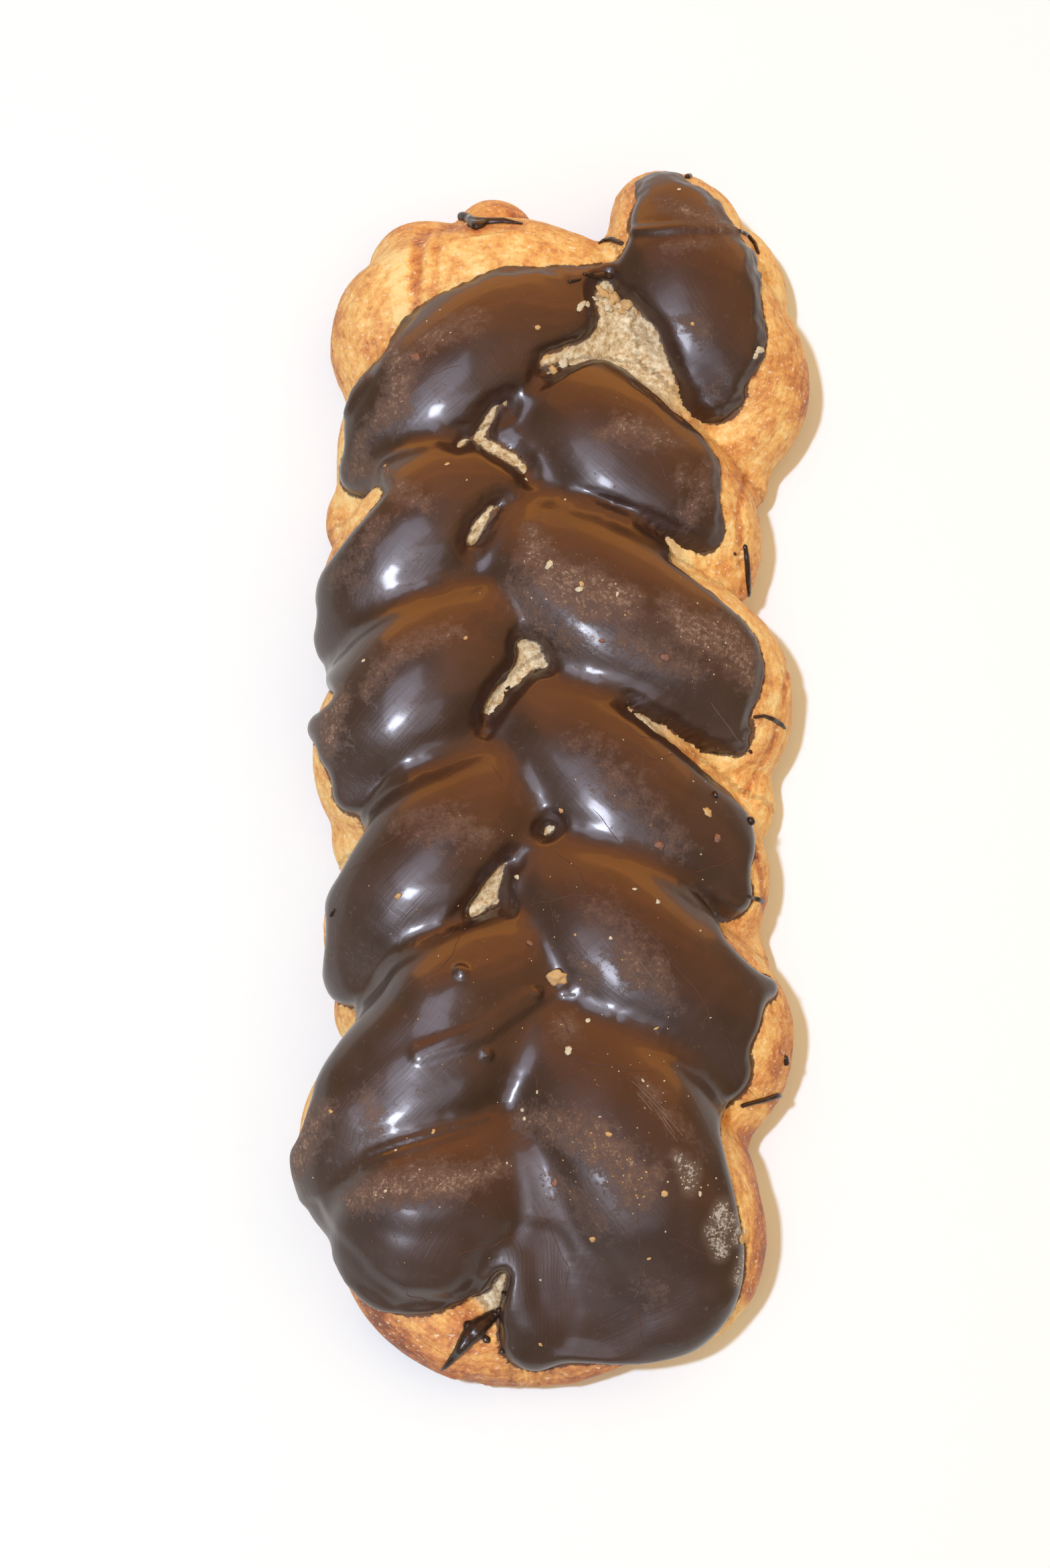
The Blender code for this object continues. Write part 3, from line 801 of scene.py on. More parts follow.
torn = torn_share(foot)
outside = settled(coat.data, coat_distance(foot, points[:, 2]), 3)
facing_up = settled(coat.data, normals[:, 2], 10)      # it stopped where the sides turn under
outside = -blend_min(-outside, facing_up * undercut_mm, 1.0)
ragged = grain_noise(foot, 1.5, 2) * 0.55 + grain_noise(foot, 4.5, 4) * 0.9
gap_reach = nearest_chain(foot, coat_gaps)
ragged *= 0.35 + 0.65 * soft_step((gap_reach - 1) / 3)
wavy = grain_noise(foot, 8, 6) * 0.4
outside += torn * ragged + (1 - torn) * wavy
lip = lip_fluid_mm + torn * (lip_torn_mm - lip_fluid_mm)
inside = np.clip(-outside / lip, 0, 1)
rise = 1 - (1 - inside) ** lip_round
thinner = 1 - 0.55 * torn * (1 - soft_step(-outside / 3.5))
layer = np.minimum(depth, coat_mm) * thinner
height = (depth - np.minimum(depth, coat_mm) + layer) * rise
height -= np.clip(outside / skirt_mm, 0, 1) * sink_mm
outer = points + normals * (height - depth)[:, None]
still = np.stack([settled(coat.data, outer[:, k], still_rounds) for k in range(3)], axis=1)
deep = 1 - soft_step(chain_distance(foot, laid_out(smooth_dough, still_pool)) / still_soft_mm)
outer += (still - outer) * (deep * inside)[:, None]
swell = (grain_noise(points, 11, 5) * 0.30 + grain_noise(points, 4, 9) * 0.06) * inside
for stations, soft, high in coat_forms:
    near = chain_distance(foot, laid_out(smooth_dough, stations))
    swell += high * (1 - soft_step(near / soft)) * np.clip(inside * 2, 0, 1)
outer += normals * swell[:, None]
inner = points - normals * (depth + backing_mm)[:, None]
coat.data = closed_shell(coat.data, outside < skirt_mm, outer, inner)

# The room that the dough takes up is cut out of the coat.
hollow = as_object("hollow", bare_dough.copy())
melt(hollow, hollow_cell_mm, 0)
push_out(hollow.data, np.full(len(hollow.data.vertices), -overlap_mm))
cut = coat.modifiers.new("cut", "BOOLEAN")
cut.operation = "DIFFERENCE"
cut.solver = "MANIFOLD"
cut.object = hollow
apply_modifiers(coat)
bpy.data.objects.remove(hollow)


def drop_scraps(mesh, least):
    """Drops the bodies of a mesh that have fewer vertices than that."""
    body = bmesh.new()
    body.from_mesh(mesh)
    left = set(body.verts)
    while left:
        shell = [left.pop()]
        for vertex in shell:
            near = {edge.other_vert(vertex) for edge in vertex.link_edges} & left
            left -= near
            shell += near
        if len(shell) < least:
            bmesh.ops.delete(body, geom=shell, context="VERTS")
    body.to_mesh(mesh)
    body.free()


drop_scraps(coat.data, least_vertices)

# Places rubbed dull in packing: stations of picture pixels and half width, then strength.
scuffs = (
    (((575, 490, 1.0), (600, 560, 2.2), (590, 610, 2.4), (560, 630, 1.0)), 0.95),
    (((600, 545, 1.2), (645, 500, 2.0), (705, 480, 1.6)), 0.80),
    (((540, 655, 1.0), (530, 700, 1.6), (575, 705, 1.2)), 0.85),
    (((990, 300, 1.0), (1040, 320, 2.0), (1095, 345, 1.6)), 0.90),
    (((1000, 370, 0.6), (1045, 365, 0.8), (1100, 345, 1.2)), 0.75),
    (((1020, 480, 0.8), (1040, 485, 1.4), (1055, 500, 0.8)), 0.70),
    (((1060, 590, 0.8), (1085, 560, 0.8)), 0.40),
    (((900, 650, 0.8), (930, 640, 2.2), (975, 650, 2.2), (1010, 660, 1.0)), 0.90),
    (((960, 625, 0.6), (925, 625, 1.2)), 0.60),
    (((1020, 715, 1.2), (1050, 735, 1.4), (1030, 765, 1.8), (1060, 700, 0.8)), 0.85),
    (((570, 705, 1.0), (600, 735, 2.0), (635, 755, 1.0)), 0.75),
    (((560, 780, 1.4), (540, 830, 1.4), (500, 860, 1.0)), 0.70),
    (((545, 830, 1.0), (530, 870, 1.0)), 0.55),
    (((640, 945, 1.0), (600, 970, 1.8), (570, 1000, 1.8), (550, 1030, 1.2)), 0.75),
    (((680, 940, 1.0), (650, 950, 1.2)), 0.75),
    (((510, 1040, 1.4), (490, 1080, 2.4), (490, 1110, 2.0)), 0.90),
    (((795, 790, 1.0), (800, 830, 3.2), (830, 870, 4.2), (880, 890, 4.6), (930, 900, 3.4)), 0.92),
    (((770, 870, 1.4), (800, 930, 2.4), (860, 960, 1.6)), 0.70),
    (((1000, 900, 1.6), (1030, 940, 3.4), (1080, 950, 4.0), (1110, 985, 3.0), (1120, 1020, 1.4)), 0.98),
    (((930, 960, 1.2), (990, 985, 2.4), (1040, 1000, 1.6)), 0.72),
    (((640, 1245, 2.0), (690, 1235, 3.0), (725, 1250, 2.0)), 0.62),
    (((590, 1230, 1.4), (640, 1215, 1.4), (700, 1200, 1.0)), 0.50),
    (((925, 1410, 1.0), (940, 1430, 2.4), (955, 1460, 1.8)), 0.85),
    (((975, 1440, 1.6), (985, 1460, 2.0), (1000, 1500, 1.0)), 0.75),
    (((870, 1440, 1.0), (880, 1455, 1.6)), 0.75),
    (((835, 1525, 1.2), (850, 1540, 1.8)), 0.80),
    (((440, 1740, 2.6), (460, 1690, 2.8), (480, 1660, 2.0)), 0.92),
    (((550, 1640, 1.8), (560, 1680, 1.6)), 0.70),
    (((1020, 1690, 0.4), (980, 1640, 1.2), (955, 1615, 0.8)), 0.75),
    (((530, 1790, 2.0), (570, 1775, 2.6), (640, 1770, 2.8), (690, 1765, 2.0), (745, 1745, 1.4)), 0.98),
    (((620, 1750, 1.8), (690, 1750, 1.6)), 0.70),
    (
        (
            (790, 1670, 2.0), (830, 1680, 3.2), (880, 1700, 3.8), (930, 1740, 3.4), (950, 1780, 3.0),
            (985, 1745, 1.2),
        ),
        0.80,
    ),
    (((830, 1760, 1.2), (860, 1790, 1.4), (890, 1830, 2.2)), 0.60),
    (((870, 1110, 3.0), (930, 1170, 4.0), (1010, 1260, 3.0)), 0.45),
    (((900, 1360, 3.0), (960, 1420, 3.0)), 0.42),
    (((960, 1915, 1.0), (985, 1935, 1.6)), 0.60),
    (((1030, 1700, 1.0), (1060, 1730, 1.0)), 0.35),
)
# Pale sugary dust at the right.
dust_patches = (
    (((1010, 1725, 0.8), (1030, 1750, 2.0), (1030, 1775, 1.2)), 0.90),
    (((1080, 1800, 1.2), (1070, 1840, 2.4), (1075, 1870, 1.6)), 1.00),
    (((1095, 1820, 1.0), (1100, 1850, 1.4)), 0.95),
    (((1110, 1880, 1.0), (1105, 1910, 1.6)), 0.90),
    (((1150, 1500, 0.6), (1145, 1530, 0.8), (1140, 1555, 0.6)), 0.75),
)
# Places that set duller than the rest: the right-hand lobes, the lowest left one and the tongue.
satin_patches = (
    (((1010, 300, 4), (1030, 420, 6), (1045, 500, 5)), 0.7),
    (((870, 600, 4), (950, 700, 7), (1040, 780, 5)), 0.6),
    (((830, 800, 3), (930, 900, 7), (1050, 990, 6)), 0.7),
    (((850, 1080, 3), (960, 1190, 6), (1050, 1280, 5)), 0.7),
    (((850, 1330, 3), (960, 1440, 7), (1080, 1560, 6)), 0.8),
    (((880, 1600, 6), (950, 1750, 10), (970, 1950, 10)), 1.0),
    (((800, 1780, 4), (820, 1960, 5)), 1.0),
    (((540, 1860, 6), (640, 1840, 9), (750, 1760, 5)), 1.0),
    (((700, 1180, 3), (620, 1230, 5), (540, 1330, 4)), 0.5),
)


def marked(points, tree, patches, soft):
    """Strength of these marks at each point."""
    value = np.zeros(len(points))
    for stations, strength in patches:
        near = chain_distance(points, laid_out(tree, stations))
        value = np.maximum(value, strength * (1 - soft_step((near + soft * 0.4) / soft)))
    return value


thin_edge_mm, smear_mm = 1.2, 0.9
strand_jump_mm = 2.5        # a longer step of the strand coordinates goes from one strand to the next
surface = search_tree(coat, dough)
points = points_of(coat.data)
edge = np.clip(-coat_distance(points, points[:, 2]) / thin_edge_mm, 0, 1)
for name, table, soft_mm in (
    ("scuff", scuffs, 6.0),
    ("dust", dust_patches, 2.2),
    ("satin", satin_patches, 8.0),
):
    give_number(coat.data, name, marked(points, surface, table, soft_mm))
give_number(coat.data, "thin", torn_share(points) * (1 - edge))
grain_rows = strand_coordinates(points)
give_vector(coat.data, "grain", grain_rows)
# Steady is 0 by such a jump, so that the lines from the pour fade out there.
ends = np.array([edge.vertices[:] for edge in coat.data.edges])
jumps = ends[np.abs(grain_rows[ends[:, 0]] - grain_rows[ends[:, 1]]).max(axis=1) > strand_jump_mm]
broken = np.zeros(len(points))
broken[jumps] = 1
give_number(coat.data, "steady", 1 - np.clip(settled(coat.data, broken, 12) * 8, 0, 1))
# Smears of chocolate on the crust, beside the coat's edge.
crust_points = points_of(dough.data)
beside = coat_distance(crust_points, np.full(len(crust_points), coat_low_mm * 2))
give_number(dough.data, "smear", (crust_points[:, 2] > coat_low_mm) * (1 - soft_step(beside / smear_mm)))

# Dark chocolate with cocoa butter, set slowly: near black brown, half gloss, with faint lines from
# the pour. Rubbed places are dull, rough and greyish pink, chipped ones paler, sugary dust is pale
# grey, and thin broken edges are redder.
chocolate, tree, shader = new_material("dark_chocolate")
place = add_node(tree, "TexCoord").outputs["Object"]
grain = add_node(tree, "Attribute", attribute_name="grain").outputs["Vector"]
scuff, dust, satin, thin, steady = [
    add_node(tree, "Attribute", attribute_name=name).outputs["Fac"]
    for name in ("scuff", "dust", "satin", "thin", "steady")
]
# Patterns drawn out along or across the strands: lengths in millimetres, detail and roughness.
drawn = []
for along_mm, across_mm, detail, rough in ((10, 0.6, 3, 0.5), (1.1, 10, 2, 0.5), (3, 0.7, 4, 0.7)):
    run = add_node(tree, "Mapping", {"Vector": grain, "Scale": (1 / along_mm, 1 / across_mm, 1)})
    drawn.append(
        add_node(
            tree,
            "TexNoise",
            {"Vector": run.outputs["Vector"], "Scale": 1, "Detail": detail, "Roughness": rough},
        ).outputs["Fac"]
    )
lines, ripples, strokes = drawn
# Size in millimetres, detail and roughness of the other patterns.
cloud, grit, flake, grains = [
    add_node(
        tree, "TexNoise", {"Vector": place, "Scale": 1000 / size_mm, "Detail": detail, "Roughness": rough}
    ).outputs["Fac"]
    for size_mm, detail, rough in ((9, 3, 0.5), (0.7, 4, 0.8), (2.2, 5, 0.7), (0.55, 3, 0.7))
]
# Where it is rubbed, chipped and dusty: patterns added up with their shares, then how the sum
# becomes a strength.
marks = []
for total, parts, least, most, strength, curve in (
    (-1.75, ((grit, 1.3), (flake, 1.8), (scuff, 1.0)), 0.05, 0.85, 0.85, "LINEAR"),
    (-4.15, ((grit, 3.4), (strokes, 1.8), (flake, 1.4), (scuff, 1.05)), 0.12, 0.65, 0.8, "LINEAR"),
    (-2.35, ((grains, 2.4), (flake, 1.6), (dust, 1.0)), 0.50, 0.95, 0.95, "SMOOTHSTEP"),
):
    for pattern, share in parts:
        sum_node = add_node(tree, "Math", {0: pattern, 1: share, 2: total}, operation="MULTIPLY_ADD")
        total = sum_node.outputs[0]
    mark = add_node(
        tree, "MapRange", {"Value": total, 1: least, 2: most, 3: 0, 4: strength}, interpolation_type=curve
    )
    marks.append(mark.outputs[0])
worn, chips, dusty = marks
veil = add_node(tree, "Math", {0: dust, 1: flake}, operation="MULTIPLY").outputs[0]
rubbed, shaving, base = [
    add_node(tree, "MixRGB", {"Fac": share, "Color1": srgb(dark), "Color2": srgb(pale)}).outputs["Color"]
    for share, dark, pale in (
        (flake, "#4a3226", "#80604d"),
        (grains, "#6a4938", "#cfae98"),
        (cloud, "#2c1a12", "#442b1f"),
    )
]
for share, colour in (
    (thin, srgb("#3c2317")),
    (worn, rubbed),
    (chips, shaving),
    (veil, srgb("#77655a")),
    (dusty, srgb("#bcb1a8")),
):
    base = add_node(tree, "MixRGB", {"Fac": share, "Color1": base, "Color2": colour}).outputs["Color"]
tree.links.new(base, shader.inputs["Base Color"])
dull = add_node(tree, "MapRange", {"Value": cloud, 1: 0.3, 2: 0.7, 3: 0.34, 4: 0.46}).outputs[0]
for pattern, share in ((worn, 0.35), (satin, 0.07), (dusty, 0.3), (thin, 0.25)):
    dull = add_node(tree, "Math", {0: pattern, 1: share, 2: dull}, operation="MULTIPLY_ADD").outputs[0]
tree.links.new(dull, shader.inputs["Roughness"])
poured = add_node(tree, "Math", {0: lines, 1: ripples}, operation="ADD").outputs[0]
poured = add_node(tree, "Math", {0: poured, 1: -1.0}, operation="ADD").outputs[0]
for share in (steady, cloud):
    poured = add_node(tree, "Math", {0: poured, 1: share}, operation="MULTIPLY").outputs[0]
raised = add_node(tree, "Math", {0: worn, 1: grit}, operation="MULTIPLY").outputs[0]
for pattern, share in ((dusty, 0.6), (chips, 0.5), (poured, 0.6)):
    raised = add_node(tree, "Math", {0: pattern, 1: share, 2: raised}, operation="MULTIPLY_ADD").outputs[0]
bump = add_node(tree, "Bump", {"Height": raised, "Strength": 0.7, "Distance": 0.25 * MM})
tree.links.new(bump.outputs["Normal"], shader.inputs["Normal"])
# The gloss of the skin that set smooth, lost where it is rubbed or satin.
shine = add_node(tree, "Math", {0: worn, 1: -0.6, 2: 0.5}, operation="MULTIPLY_ADD").outputs[0]
shine = add_node(tree, "Math", {0: satin, 1: -0.42, 2: shine}, operation="MULTIPLY_ADD", use_clamp=True)
tree.links.new(shine.outputs[0], shader.inputs["Coat Weight"])
shader.inputs["Coat Roughness"].default_value = 0.14
coat.data.materials.clear()
coat.data.materials.append(chocolate)
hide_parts("icing")
settle(coat)
settle(dough)      # only now, because the chocolate was shaped on it where it was laid out


# ------------------------------------------------------------------------------------------------
# Drips. Chocolate that ran or spattered past the coat and set on the crust in small round-backed
# streaks and beads; each is a thick line laid on the surface, and they are melted into one piece.
# ------------------------------------------------------------------------------------------------
# Stations of picture pixels and half width in millimetres.
drips = (
    (
        (747, 1957, 0.7), (729, 1970, 1.4), (712, 1985, 2.0), (700, 1998, 1.7), (684, 2018, 1.0),
        (666, 2040, 0.5), (659, 2047, 0.2),
    ),
    ((698, 1981, 1.1), (700, 1979, 1.1)),
    ((724, 1998, 0.7), (728, 2002, 0.8)),
    ((752, 1930, 0.5), (754, 1934, 0.4)),
    ((750, 2016, 0.5), (752, 2020, 0.5)),
    (
        (668, 331, 0.4), (679, 325, 0.9), (694, 325, 1.0), (708, 332, 0.9), (728, 332, 0.8),
        (752, 331, 0.7), (780, 335, 0.3),
    ),
    ((704, 336, 1.0), (713, 340, 1.1), (722, 336, 0.9)),
    ((894, 364, 0.3), (903, 360, 0.5), (914, 358, 0.6), (930, 364, 0.5)),
    ((872, 409, 0.4), (886, 412, 0.5), (900, 411, 0.9), (912, 412, 0.7)),
    ((850, 420, 0.5), (866, 417, 0.4)),
    ((1104, 345, 0.4), (1116, 352, 0.5), (1126, 364, 0.5), (1132, 379, 0.4)),
    ((1026, 266, 0.7), (1030, 264, 0.6)),
    ((1112, 815, 0.5), (1115, 840, 0.6), (1116, 865, 0.6), (1118, 893, 0.4)),
    ((1096, 826, 0.3), (1098, 828, 0.4)),
    ((1126, 1071, 0.4), (1140, 1069, 0.4), (1152, 1073, 0.5), (1166, 1082, 0.5), (1172, 1088, 0.3)),
    ((1119, 1224, 0.7), (1122, 1229, 0.7)),
    ((1067, 1185, 0.6), (1070, 1190, 0.5)),
    ((1118, 1339, 0.4), (1132, 1343, 0.5), (1140, 1347, 0.4)),
    ((1172, 1578, 0.5), (1173, 1588, 0.7)),
    ((1108, 1651, 0.5), (1125, 1646, 0.5), (1145, 1641, 0.6), (1160, 1636, 0.6), (1171, 1637, 0.4)),
    ((499, 1358, 0.3), (494, 1368, 0.4)),
    ((482, 1256, 0.4), (483, 1260, 0.4)),
    ((482, 1384, 0.4), (484, 1388, 0.4)),
    ((1119, 1121, 0.4), (1122, 1124, 0.4)),
    ((1172, 1128, 0.4), (1174, 1130, 0.4)),
)
drip_cell_mm, drip_sigma = 0.2, 0.16


def lay_line(name, stations, sunk, sides, step_mm=0.5):
    """Tube along picture pixels, resting on the pastry, sunk into it by that share of its width."""
    route = []
    for (ax, ay, ar), (bx, by, br) in zip(stations, stations[1:]):
        count = max(1, round(math.hypot(bx - ax, by - ay) / pixels_per_mm / step_mm))
        for k in range(count):
            t = k / count
            route.append((ax + (bx - ax) * t, ay + (by - ay) * t, ar + (br - ar) * t))
    route.append(stations[-1])
    spots = []
    for across, down, wide in route:
        hit, normal = under_pixel(surface, across, down)
        if hit:
            spots.append((hit + normal * wide * (1 - 2 * sunk), wide))
    if len(spots) < 2:
        return None
    tips = []
    for (tip, wide), (near, _) in ((spots[0], spots[1]), (spots[-1], spots[-2])):
        tips.append((tip + (tip - near).normalized() * wide * 0.8, wide * 0.35))
    spots = [tips[0], *spots, tips[1]]
    bpy.ops.curve.primitive_bezier_curve_add()
    line = bpy.context.object
    line.name = name
    line.data.resolution_u = 2
    line.data.bevel_depth = MM
    line.data.bevel_resolution = sides
    line.data.use_fill_caps = True
    spline = line.data.splines[0]
    spline.bezier_points.add(len(spots) - 2)
    for point, (place, wide) in zip(spline.bezier_points, spots):
        point.co = place * MM
        point.radius = wide
        point.handle_left_type = point.handle_right_type = "AUTO"
    pick(line)
    bpy.ops.object.convert(target="MESH")
    return bpy.context.object


def join(name, pieces):
    """Joins the pieces that were made into one object of that name."""
    pick(*[piece for piece in pieces if piece])
    bpy.ops.object.join()
    whole = bpy.context.object
    whole.name = whole.data.name = name
    return whole


def mottled_material(name, patch_mm, dark, pale, roughness):
    """Material that wanders between two colours in patches of that size, and its patches."""
    material, tree, shader = new_material(name)
    place = add_node(tree, "TexCoord").outputs["Object"]
    patches = add_node(
        tree, "TexNoise", {"Vector": place, "Scale": 1000 / patch_mm, "Detail": 3, "Roughness": 0.6}
    ).outputs["Fac"]
    base = add_node(tree, "MixRGB", {"Fac": patches, "Color1": srgb(dark), "Color2": srgb(pale)})
    tree.links.new(base.outputs["Color"], shader.inputs["Base Color"])
    shader.inputs["Roughness"].default_value = roughness
    return material, tree, shader, patches


drip = join("chocolate_drips", [lay_line("drip", stations, 0.35, 3) for stations in drips])
melt(drip, drip_cell_mm, drip_sigma)

# The same chocolate in thin drips, which set darker and glossier than the coat.
dripped, tree, shader, patches = mottled_material("dripped_dark_chocolate", 3, "#22150f", "#3a2418", 0.27)
dull = add_node(tree, "MapRange", {"Value": patches, 1: 0.3, 2: 0.7, 3: 0.2, 4: 0.34})
tree.links.new(dull.outputs[0], shader.inputs["Roughness"])
drip.data.materials.clear()
drip.data.materials.append(dripped)
settle(drip)


# ------------------------------------------------------------------------------------------------
# Hairline cracks of the coat, with paler cocoa along their edges, and scratches: threads as fine
# as a hair, half sunk in the chocolate, wandering a little.
# ------------------------------------------------------------------------------------------------
crack_half_mm, crack_wander_px = 0.07, 5.0
scratch_half_mm, scratch_wander_px = crack_half_mm * 0.6, 1.0
thread_step_mm = 1.0
# Stations of picture pixels.
cracks = (
    ((828, 1271), (864, 1297), (888, 1336), (823, 1346), (755, 1355)),
    ((823, 1348), (828, 1380), (825, 1412)),
    ((888, 1336), (943, 1365), (995, 1417), (1027, 1464), (1058, 1516), (1048, 1543)),
    ((1058, 1516), (1082, 1550), (1096, 1590), (1130, 1640)),
    ((885, 1208), (922, 1255), (974, 1281), (1027, 1302), (1074, 1292), (1108, 1266)),
    ((734, 1140), (760, 1180), (781, 1208)),
    ((520, 1302), (560, 1270), (598, 1245), (650, 1226)),
    ((660, 1400), (690, 1378), (676, 1425), (632, 1462), (600, 1482)),
    ((749, 1517), (770, 1500), (784, 1488)),
    ((796, 1585), (828, 1580), (870, 1584), (922, 1590), (974, 1600)),
    ((791, 1595), (802, 1626), (820, 1650), (839, 1665), (842, 1690)),
    ((953, 1790), (958, 1890), (953, 1966), (961, 2018)),
    ((761, 1820), (818, 1822), (850, 1893), (844, 1940), (829, 1956)),
    ((697, 1893), (687, 1872), (734, 1862), (776, 1840)),
    ((604, 1908), (614, 1872), (640, 1850)),
    ((593, 1914), (609, 1935), (638, 1945), (651, 1966)),
    ((740, 1793), (761, 1825), (755, 1846)),
    ((1003, 1976), (1034, 2018)),
    ((820, 1500), (850, 1545), (880, 1560)),
    ((768, 490), (776, 512), (780, 540)),
    ((610, 590), (640, 560), (690, 545)),
    ((945, 640), (990, 700), (1008, 735)),
    ((950, 1120), (980, 1135), (1010, 1128)),
    ((930, 1080), (955, 1098), (990, 1112)),
    ((620, 1560), (650, 1540), (700, 1530)),
    ((520, 1480), (540, 1450), (570, 1420)),
    ((1000, 1850), (1045, 1870), (1090, 1880)),
    ((560, 1395), (555, 1430)),
)
# Pale scratches, straight and finer still.
scratches = (
    ((1062, 1050), (1082, 1078), (1098, 1100), (1108, 1112)),
    ((944, 1615), (985, 1657), (1020, 1697)), ((959, 1623), (994, 1659)), ((968, 1644), (1012, 1706)),
    ((950, 1632), (975, 1660)), ((990, 1668), (1008, 1695)),
    ((940, 1440), (965, 1490)), ((952, 1432), (990, 1480)),
    ((1020, 925), (1060, 965)), ((1035, 920), (1080, 970)),
)
random.seed(17)


def wander(stations, reach):
    """Adds random midpoints between pixel stations, twice, so that a line is no ruled stroke."""
    for _ in range(2):
        finer = []
        for (ax, ay), (bx, by) in zip(stations, stations[1:]):
            off = random.uniform(-reach, reach) / (math.hypot(bx - ax, by - ay) or 1)
            finer += [(ax, ay), ((ax + bx) / 2 - (by - ay) * off, (ay + by) / 2 + (bx - ax) * off)]
        stations = finer + [stations[-1]]
        reach /= 2
    return stations


threads = []
for stations in cracks:
    route = [(across, down, crack_half_mm) for across, down in wander(stations, crack_wander_px)]
    route[0] = (*route[0][:2], crack_half_mm / 3)
    route[-1] = (*route[-1][:2], crack_half_mm / 3)
    threads.append(lay_line("thread", route, 0.35, 1, thread_step_mm))
crack = join("hairline_cracks", threads)
threads = []
for stations in scratches:
    route = [(across, down, scratch_half_mm) for across, down in wander(stations, scratch_wander_px)]
    threads.append(lay_line("thread", route, 0.3, 1, thread_step_mm))
scratch = join("scratches", threads)

# Dry cocoa at the edges of the cracks: dull reddish brown, broken up along the line. Chocolate
# scraped dry in the scratches: paler, dull and powdery.
for piece, name, patch_mm, dark, pale, roughness in (
    (crack, "dry_cocoa_in_cracks", 4, "#2a1a13", "#6f4331", 0.6),
    (scratch, "scraped_chocolate", 2, "#4a362b", "#a48d7e", 0.65),
):
    piece.data.materials.clear()
    piece.data.materials.append(mottled_material(name, patch_mm, dark, pale, roughness)[0])
    settle(piece)


# ------------------------------------------------------------------------------------------------
# Crumbs. Flakes of crust and bits of chocolate and sugar that stick to the coat: small lumps with
# broken faces, pressed a little into it, the large ones where they lie and the dust at random.
# ------------------------------------------------------------------------------------------------
# Picture pixel across and down, size in millimetres and finish number.
crumbs = (
    (831, 1460, 3.2, 0), (849, 1569, 1.9, 1), (878, 1524, 1.2, 1), (985, 1263, 2.0, 2), (1056, 1213, 1.8, 0),
    (1071, 1252, 1.7, 2), (595, 1338, 1.6, 0), (772, 1310, 1.1, 1), (948, 1328, 0.9, 1), (982, 1347, 1.1, 1),
    (791, 1409, 1.4, 2), (912, 1401, 0.8, 1), (859, 1396, 0.7, 0), (980, 1536, 0.8, 0), (838, 1211, 1.0, 0),
    (820, 843, 1.5, 1), (865, 880, 1.7, 1), (922, 887, 0.8, 1), (868, 872, 1.0, 0), (695, 953, 1.0, 0),
    (543, 987, 0.8, 1), (697, 717, 0.7, 0), (844, 746, 0.6, 1), (993, 982, 1.6, 2), (899, 957, 1.0, 2),
    (803, 489, 1.2, 0), (1034, 484, 0.9, 0), (621, 534, 2.1, 2), (1014, 283, 0.8, 1), (867, 458, 2.2, 1),
    (877, 455, 1.5, 1), (1134, 523, 2.2, 1), (1128, 531, 1.4, 1), (885, 1851, 1.9, 0), (909, 1694, 1.5, 0),
    (992, 1783, 1.4, 0), (828, 1767, 1.4, 2), (1045, 1783, 1.1, 1), (1107, 1851, 2.1, 0),
    (1110, 1840, 1.3, 1), (807, 1912, 0.7, 1), (807, 2008, 0.8, 0), (969, 1880, 0.9, 0),
    (780, 1658, 1.0, 1), (647, 1690, 0.9, 0),
    (591, 1718, 0.7, 1), (576, 1779, 0.9, 1), (757, 1737, 0.7, 1), (1061, 1520, 0.6, 1), (1046, 1390, 0.6, 1),
    (580, 703, 0.9, 2), (575, 696, 0.8, 0), (668, 693, 0.8, 0), (786, 716, 0.8, 1), (494, 1660, 0.8, 0),
    (783, 1671, 0.9, 1), (802, 1631, 0.8, 1), (896, 1668, 0.6, 1), (960, 1614, 0.8, 1), (967, 1622, 0.6, 1),
    (899, 437, 2.8, 0), (917, 446, 3.4, 0), (938, 452, 2.6, 0), (908, 461, 2.2, 1), (950, 466, 1.8, 0),
    (889, 447, 1.4, 1), (928, 466, 1.5, 0), (842, 543, 2.4, 1), (826, 553, 2.0, 0),
)
# How many bits of dust lie round each pixel: across, down, spread in pixels, count, finish number.
showers = (
    (840, 870, 60, 46, 2), (900, 900, 60, 22, 0), (820, 860, 70, 16, 1), (1060, 950, 50, 30, 2),
    (1080, 970, 40, 14, 1), (620, 520, 45, 20, 2), (650, 490, 35, 8, 1), (1045, 330, 45, 16, 2),
    (950, 650, 55, 20, 2), (1030, 745, 30, 12, 2), (600, 980, 45, 18, 2), (500, 1090, 25, 10, 2),
    (690, 1240, 45, 22, 2), (960, 1440, 45, 16, 2), (860, 1700, 60, 46, 2), (930, 1740, 50, 26, 0),
    (900, 1700, 120, 24, 1), (620, 1775, 90, 36, 2), (600, 1770, 80, 10, 1), (1040, 1760, 35, 16, 1),
    (1085, 1850, 30, 22, 1), (470, 1690, 30, 16, 2), (540, 850, 35, 10, 2), (770, 1250, 220, 26, 1),
    (760, 1500, 220, 26, 0), (1050, 1150, 60, 10, 1), (1150, 1530, 14, 12, 1), (990, 1600, 90, 12, 1),
)
dust_half_mm = (0.10, 0.26)
small_mm = 0.7              # crumbs up to this size are made with fewer faces

bpy.ops.mesh.primitive_ico_sphere_add(subdivisions=1, radius=MM)
small_crumb = bpy.context.object
bpy.ops.mesh.primitive_ico_sphere_add(subdivisions=3, radius=MM)
large_crumb = bpy.context.object


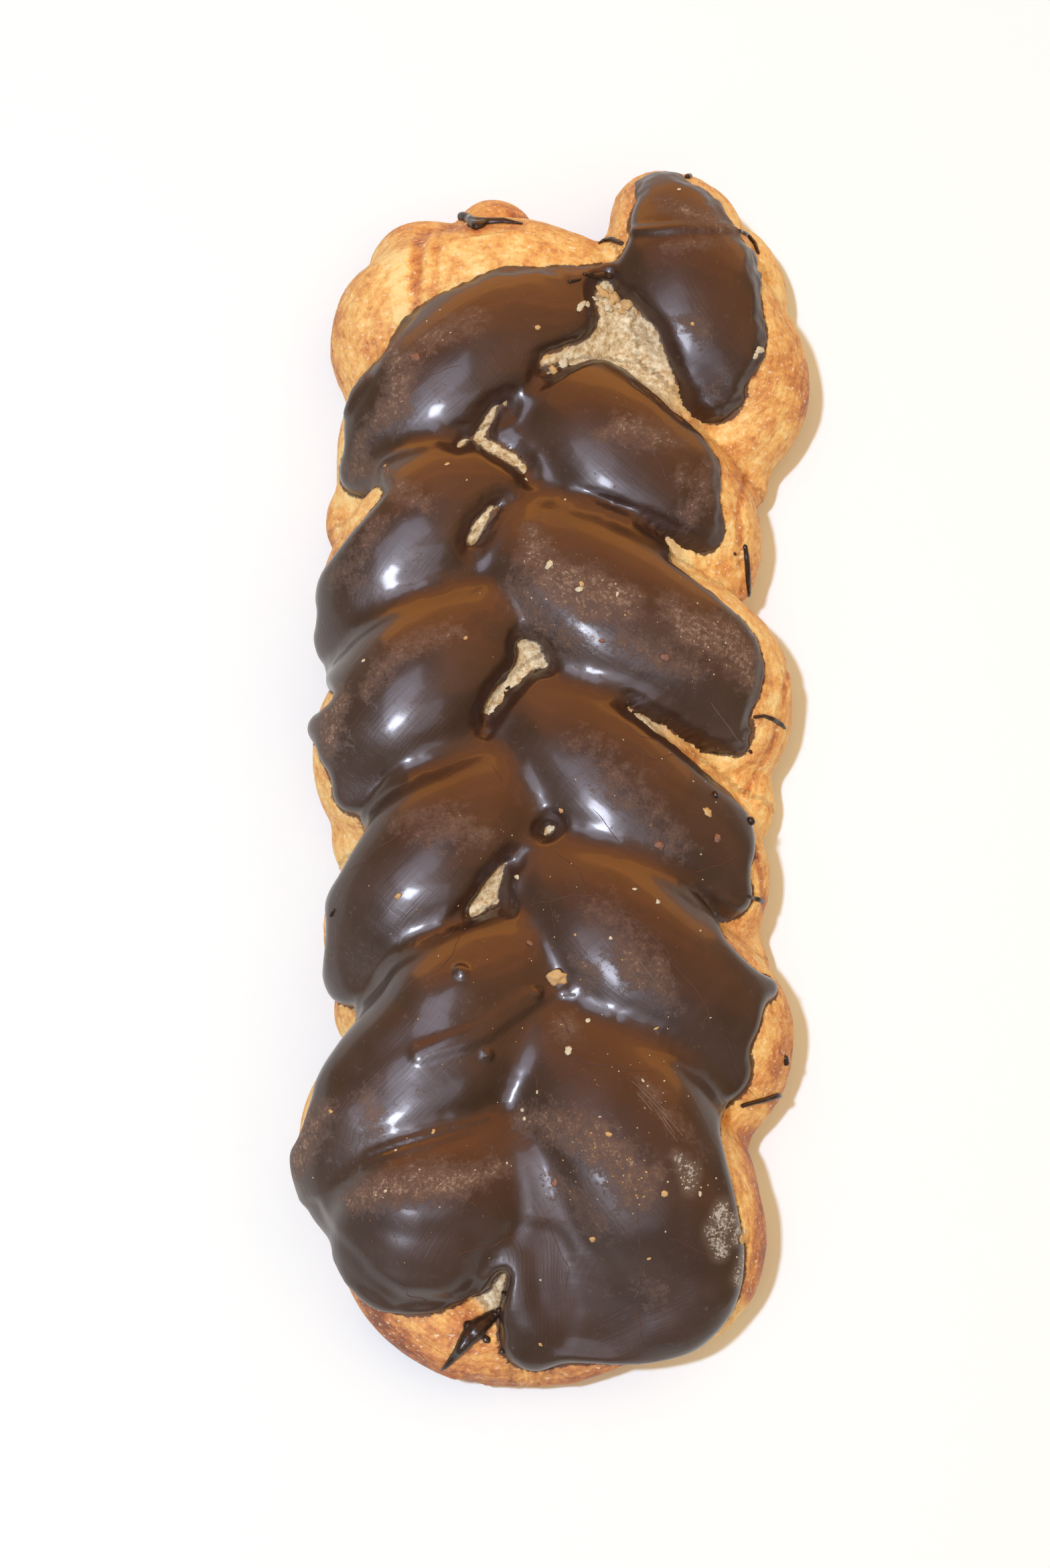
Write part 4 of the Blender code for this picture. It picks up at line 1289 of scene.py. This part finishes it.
def add_crumb(across, down, size_mm, finish):
    """Copy of a crumb with its own broken faces, pressed flat against the surface at a pixel."""
    hit, normal = under_pixel(surface, across, down)
    if hit is None or hit.z < coat_low_mm:
        return None
    lump = as_object("crumb", (large_crumb if size_mm > small_mm else small_crumb).data.copy())
    shape = [size_mm / 2 * random.uniform(*reach) for reach in ((0.7, 1.2), (0.5, 0.9), (0.25, 0.45))]
    turned = normal.to_track_quat("Z", "Y")
    turned @= Matrix.Rotation(random.uniform(0, math.tau), 3, "Z").to_quaternion()
    seed = Vector((random.uniform(0, 99), 0, 0))
    for vertex in lump.data.vertices:
        ball = vertex.co / MM
        rough = 1 + 0.5 * noise.noise(ball * 1.3 + seed) + 0.28 * noise.noise(ball * 2.7 + seed)
        local = Vector([c * s * rough for c, s in zip(ball, shape)])
        vertex.co = (hit + normal * shape[2] * 0.4 + turned @ local) * MM
    lump.data.materials.append(finish)
    return lump


# Flake of browned crust, bit of sugar glaze, and splinter of chocolate, each mottled.
finishes = [
    mottled_material(name, 0.6, dark, pale, roughness)[0]
    for name, dark, pale, roughness in (
        ("flake_of_crust", "#a9743d", "#e2bd85", 0.7),
        ("bit_of_sugar_glaze", "#b49e82", "#e9dcc0", 0.6),
        ("splinter_of_chocolate", "#5a3324", "#9c6e58", 0.65),
    )
]

random.seed(23)
lumps_made = [add_crumb(across, down, size, finishes[kind]) for across, down, size, kind in crumbs]
for across, down, spread, count, kind in showers:
    for _ in range(count):
        size = 2 * random.uniform(*dust_half_mm)
        spot = random.gauss(across, spread / 1.6), random.gauss(down, spread / 1.6)
        lumps_made.append(add_crumb(*spot, size, finishes[kind]))
bpy.data.objects.remove(small_crumb)
bpy.data.objects.remove(large_crumb)
crumb = join("crumbs", lumps_made)
settle(crumb)


# ------------------------------------------------------------------------------------------------
# Last: the shapes that were only tools are dropped, and the triangles of each piece are printed.
# ------------------------------------------------------------------------------------------------
for spare in [item for item in bpy.data.meshes if not item.users]:
    bpy.data.meshes.remove(spare)
for item in (dough, coat, drip, crack, scratch, crumb):
    print(item.name, sum(len(face.vertices) - 2 for face in item.data.polygons), "triangles")
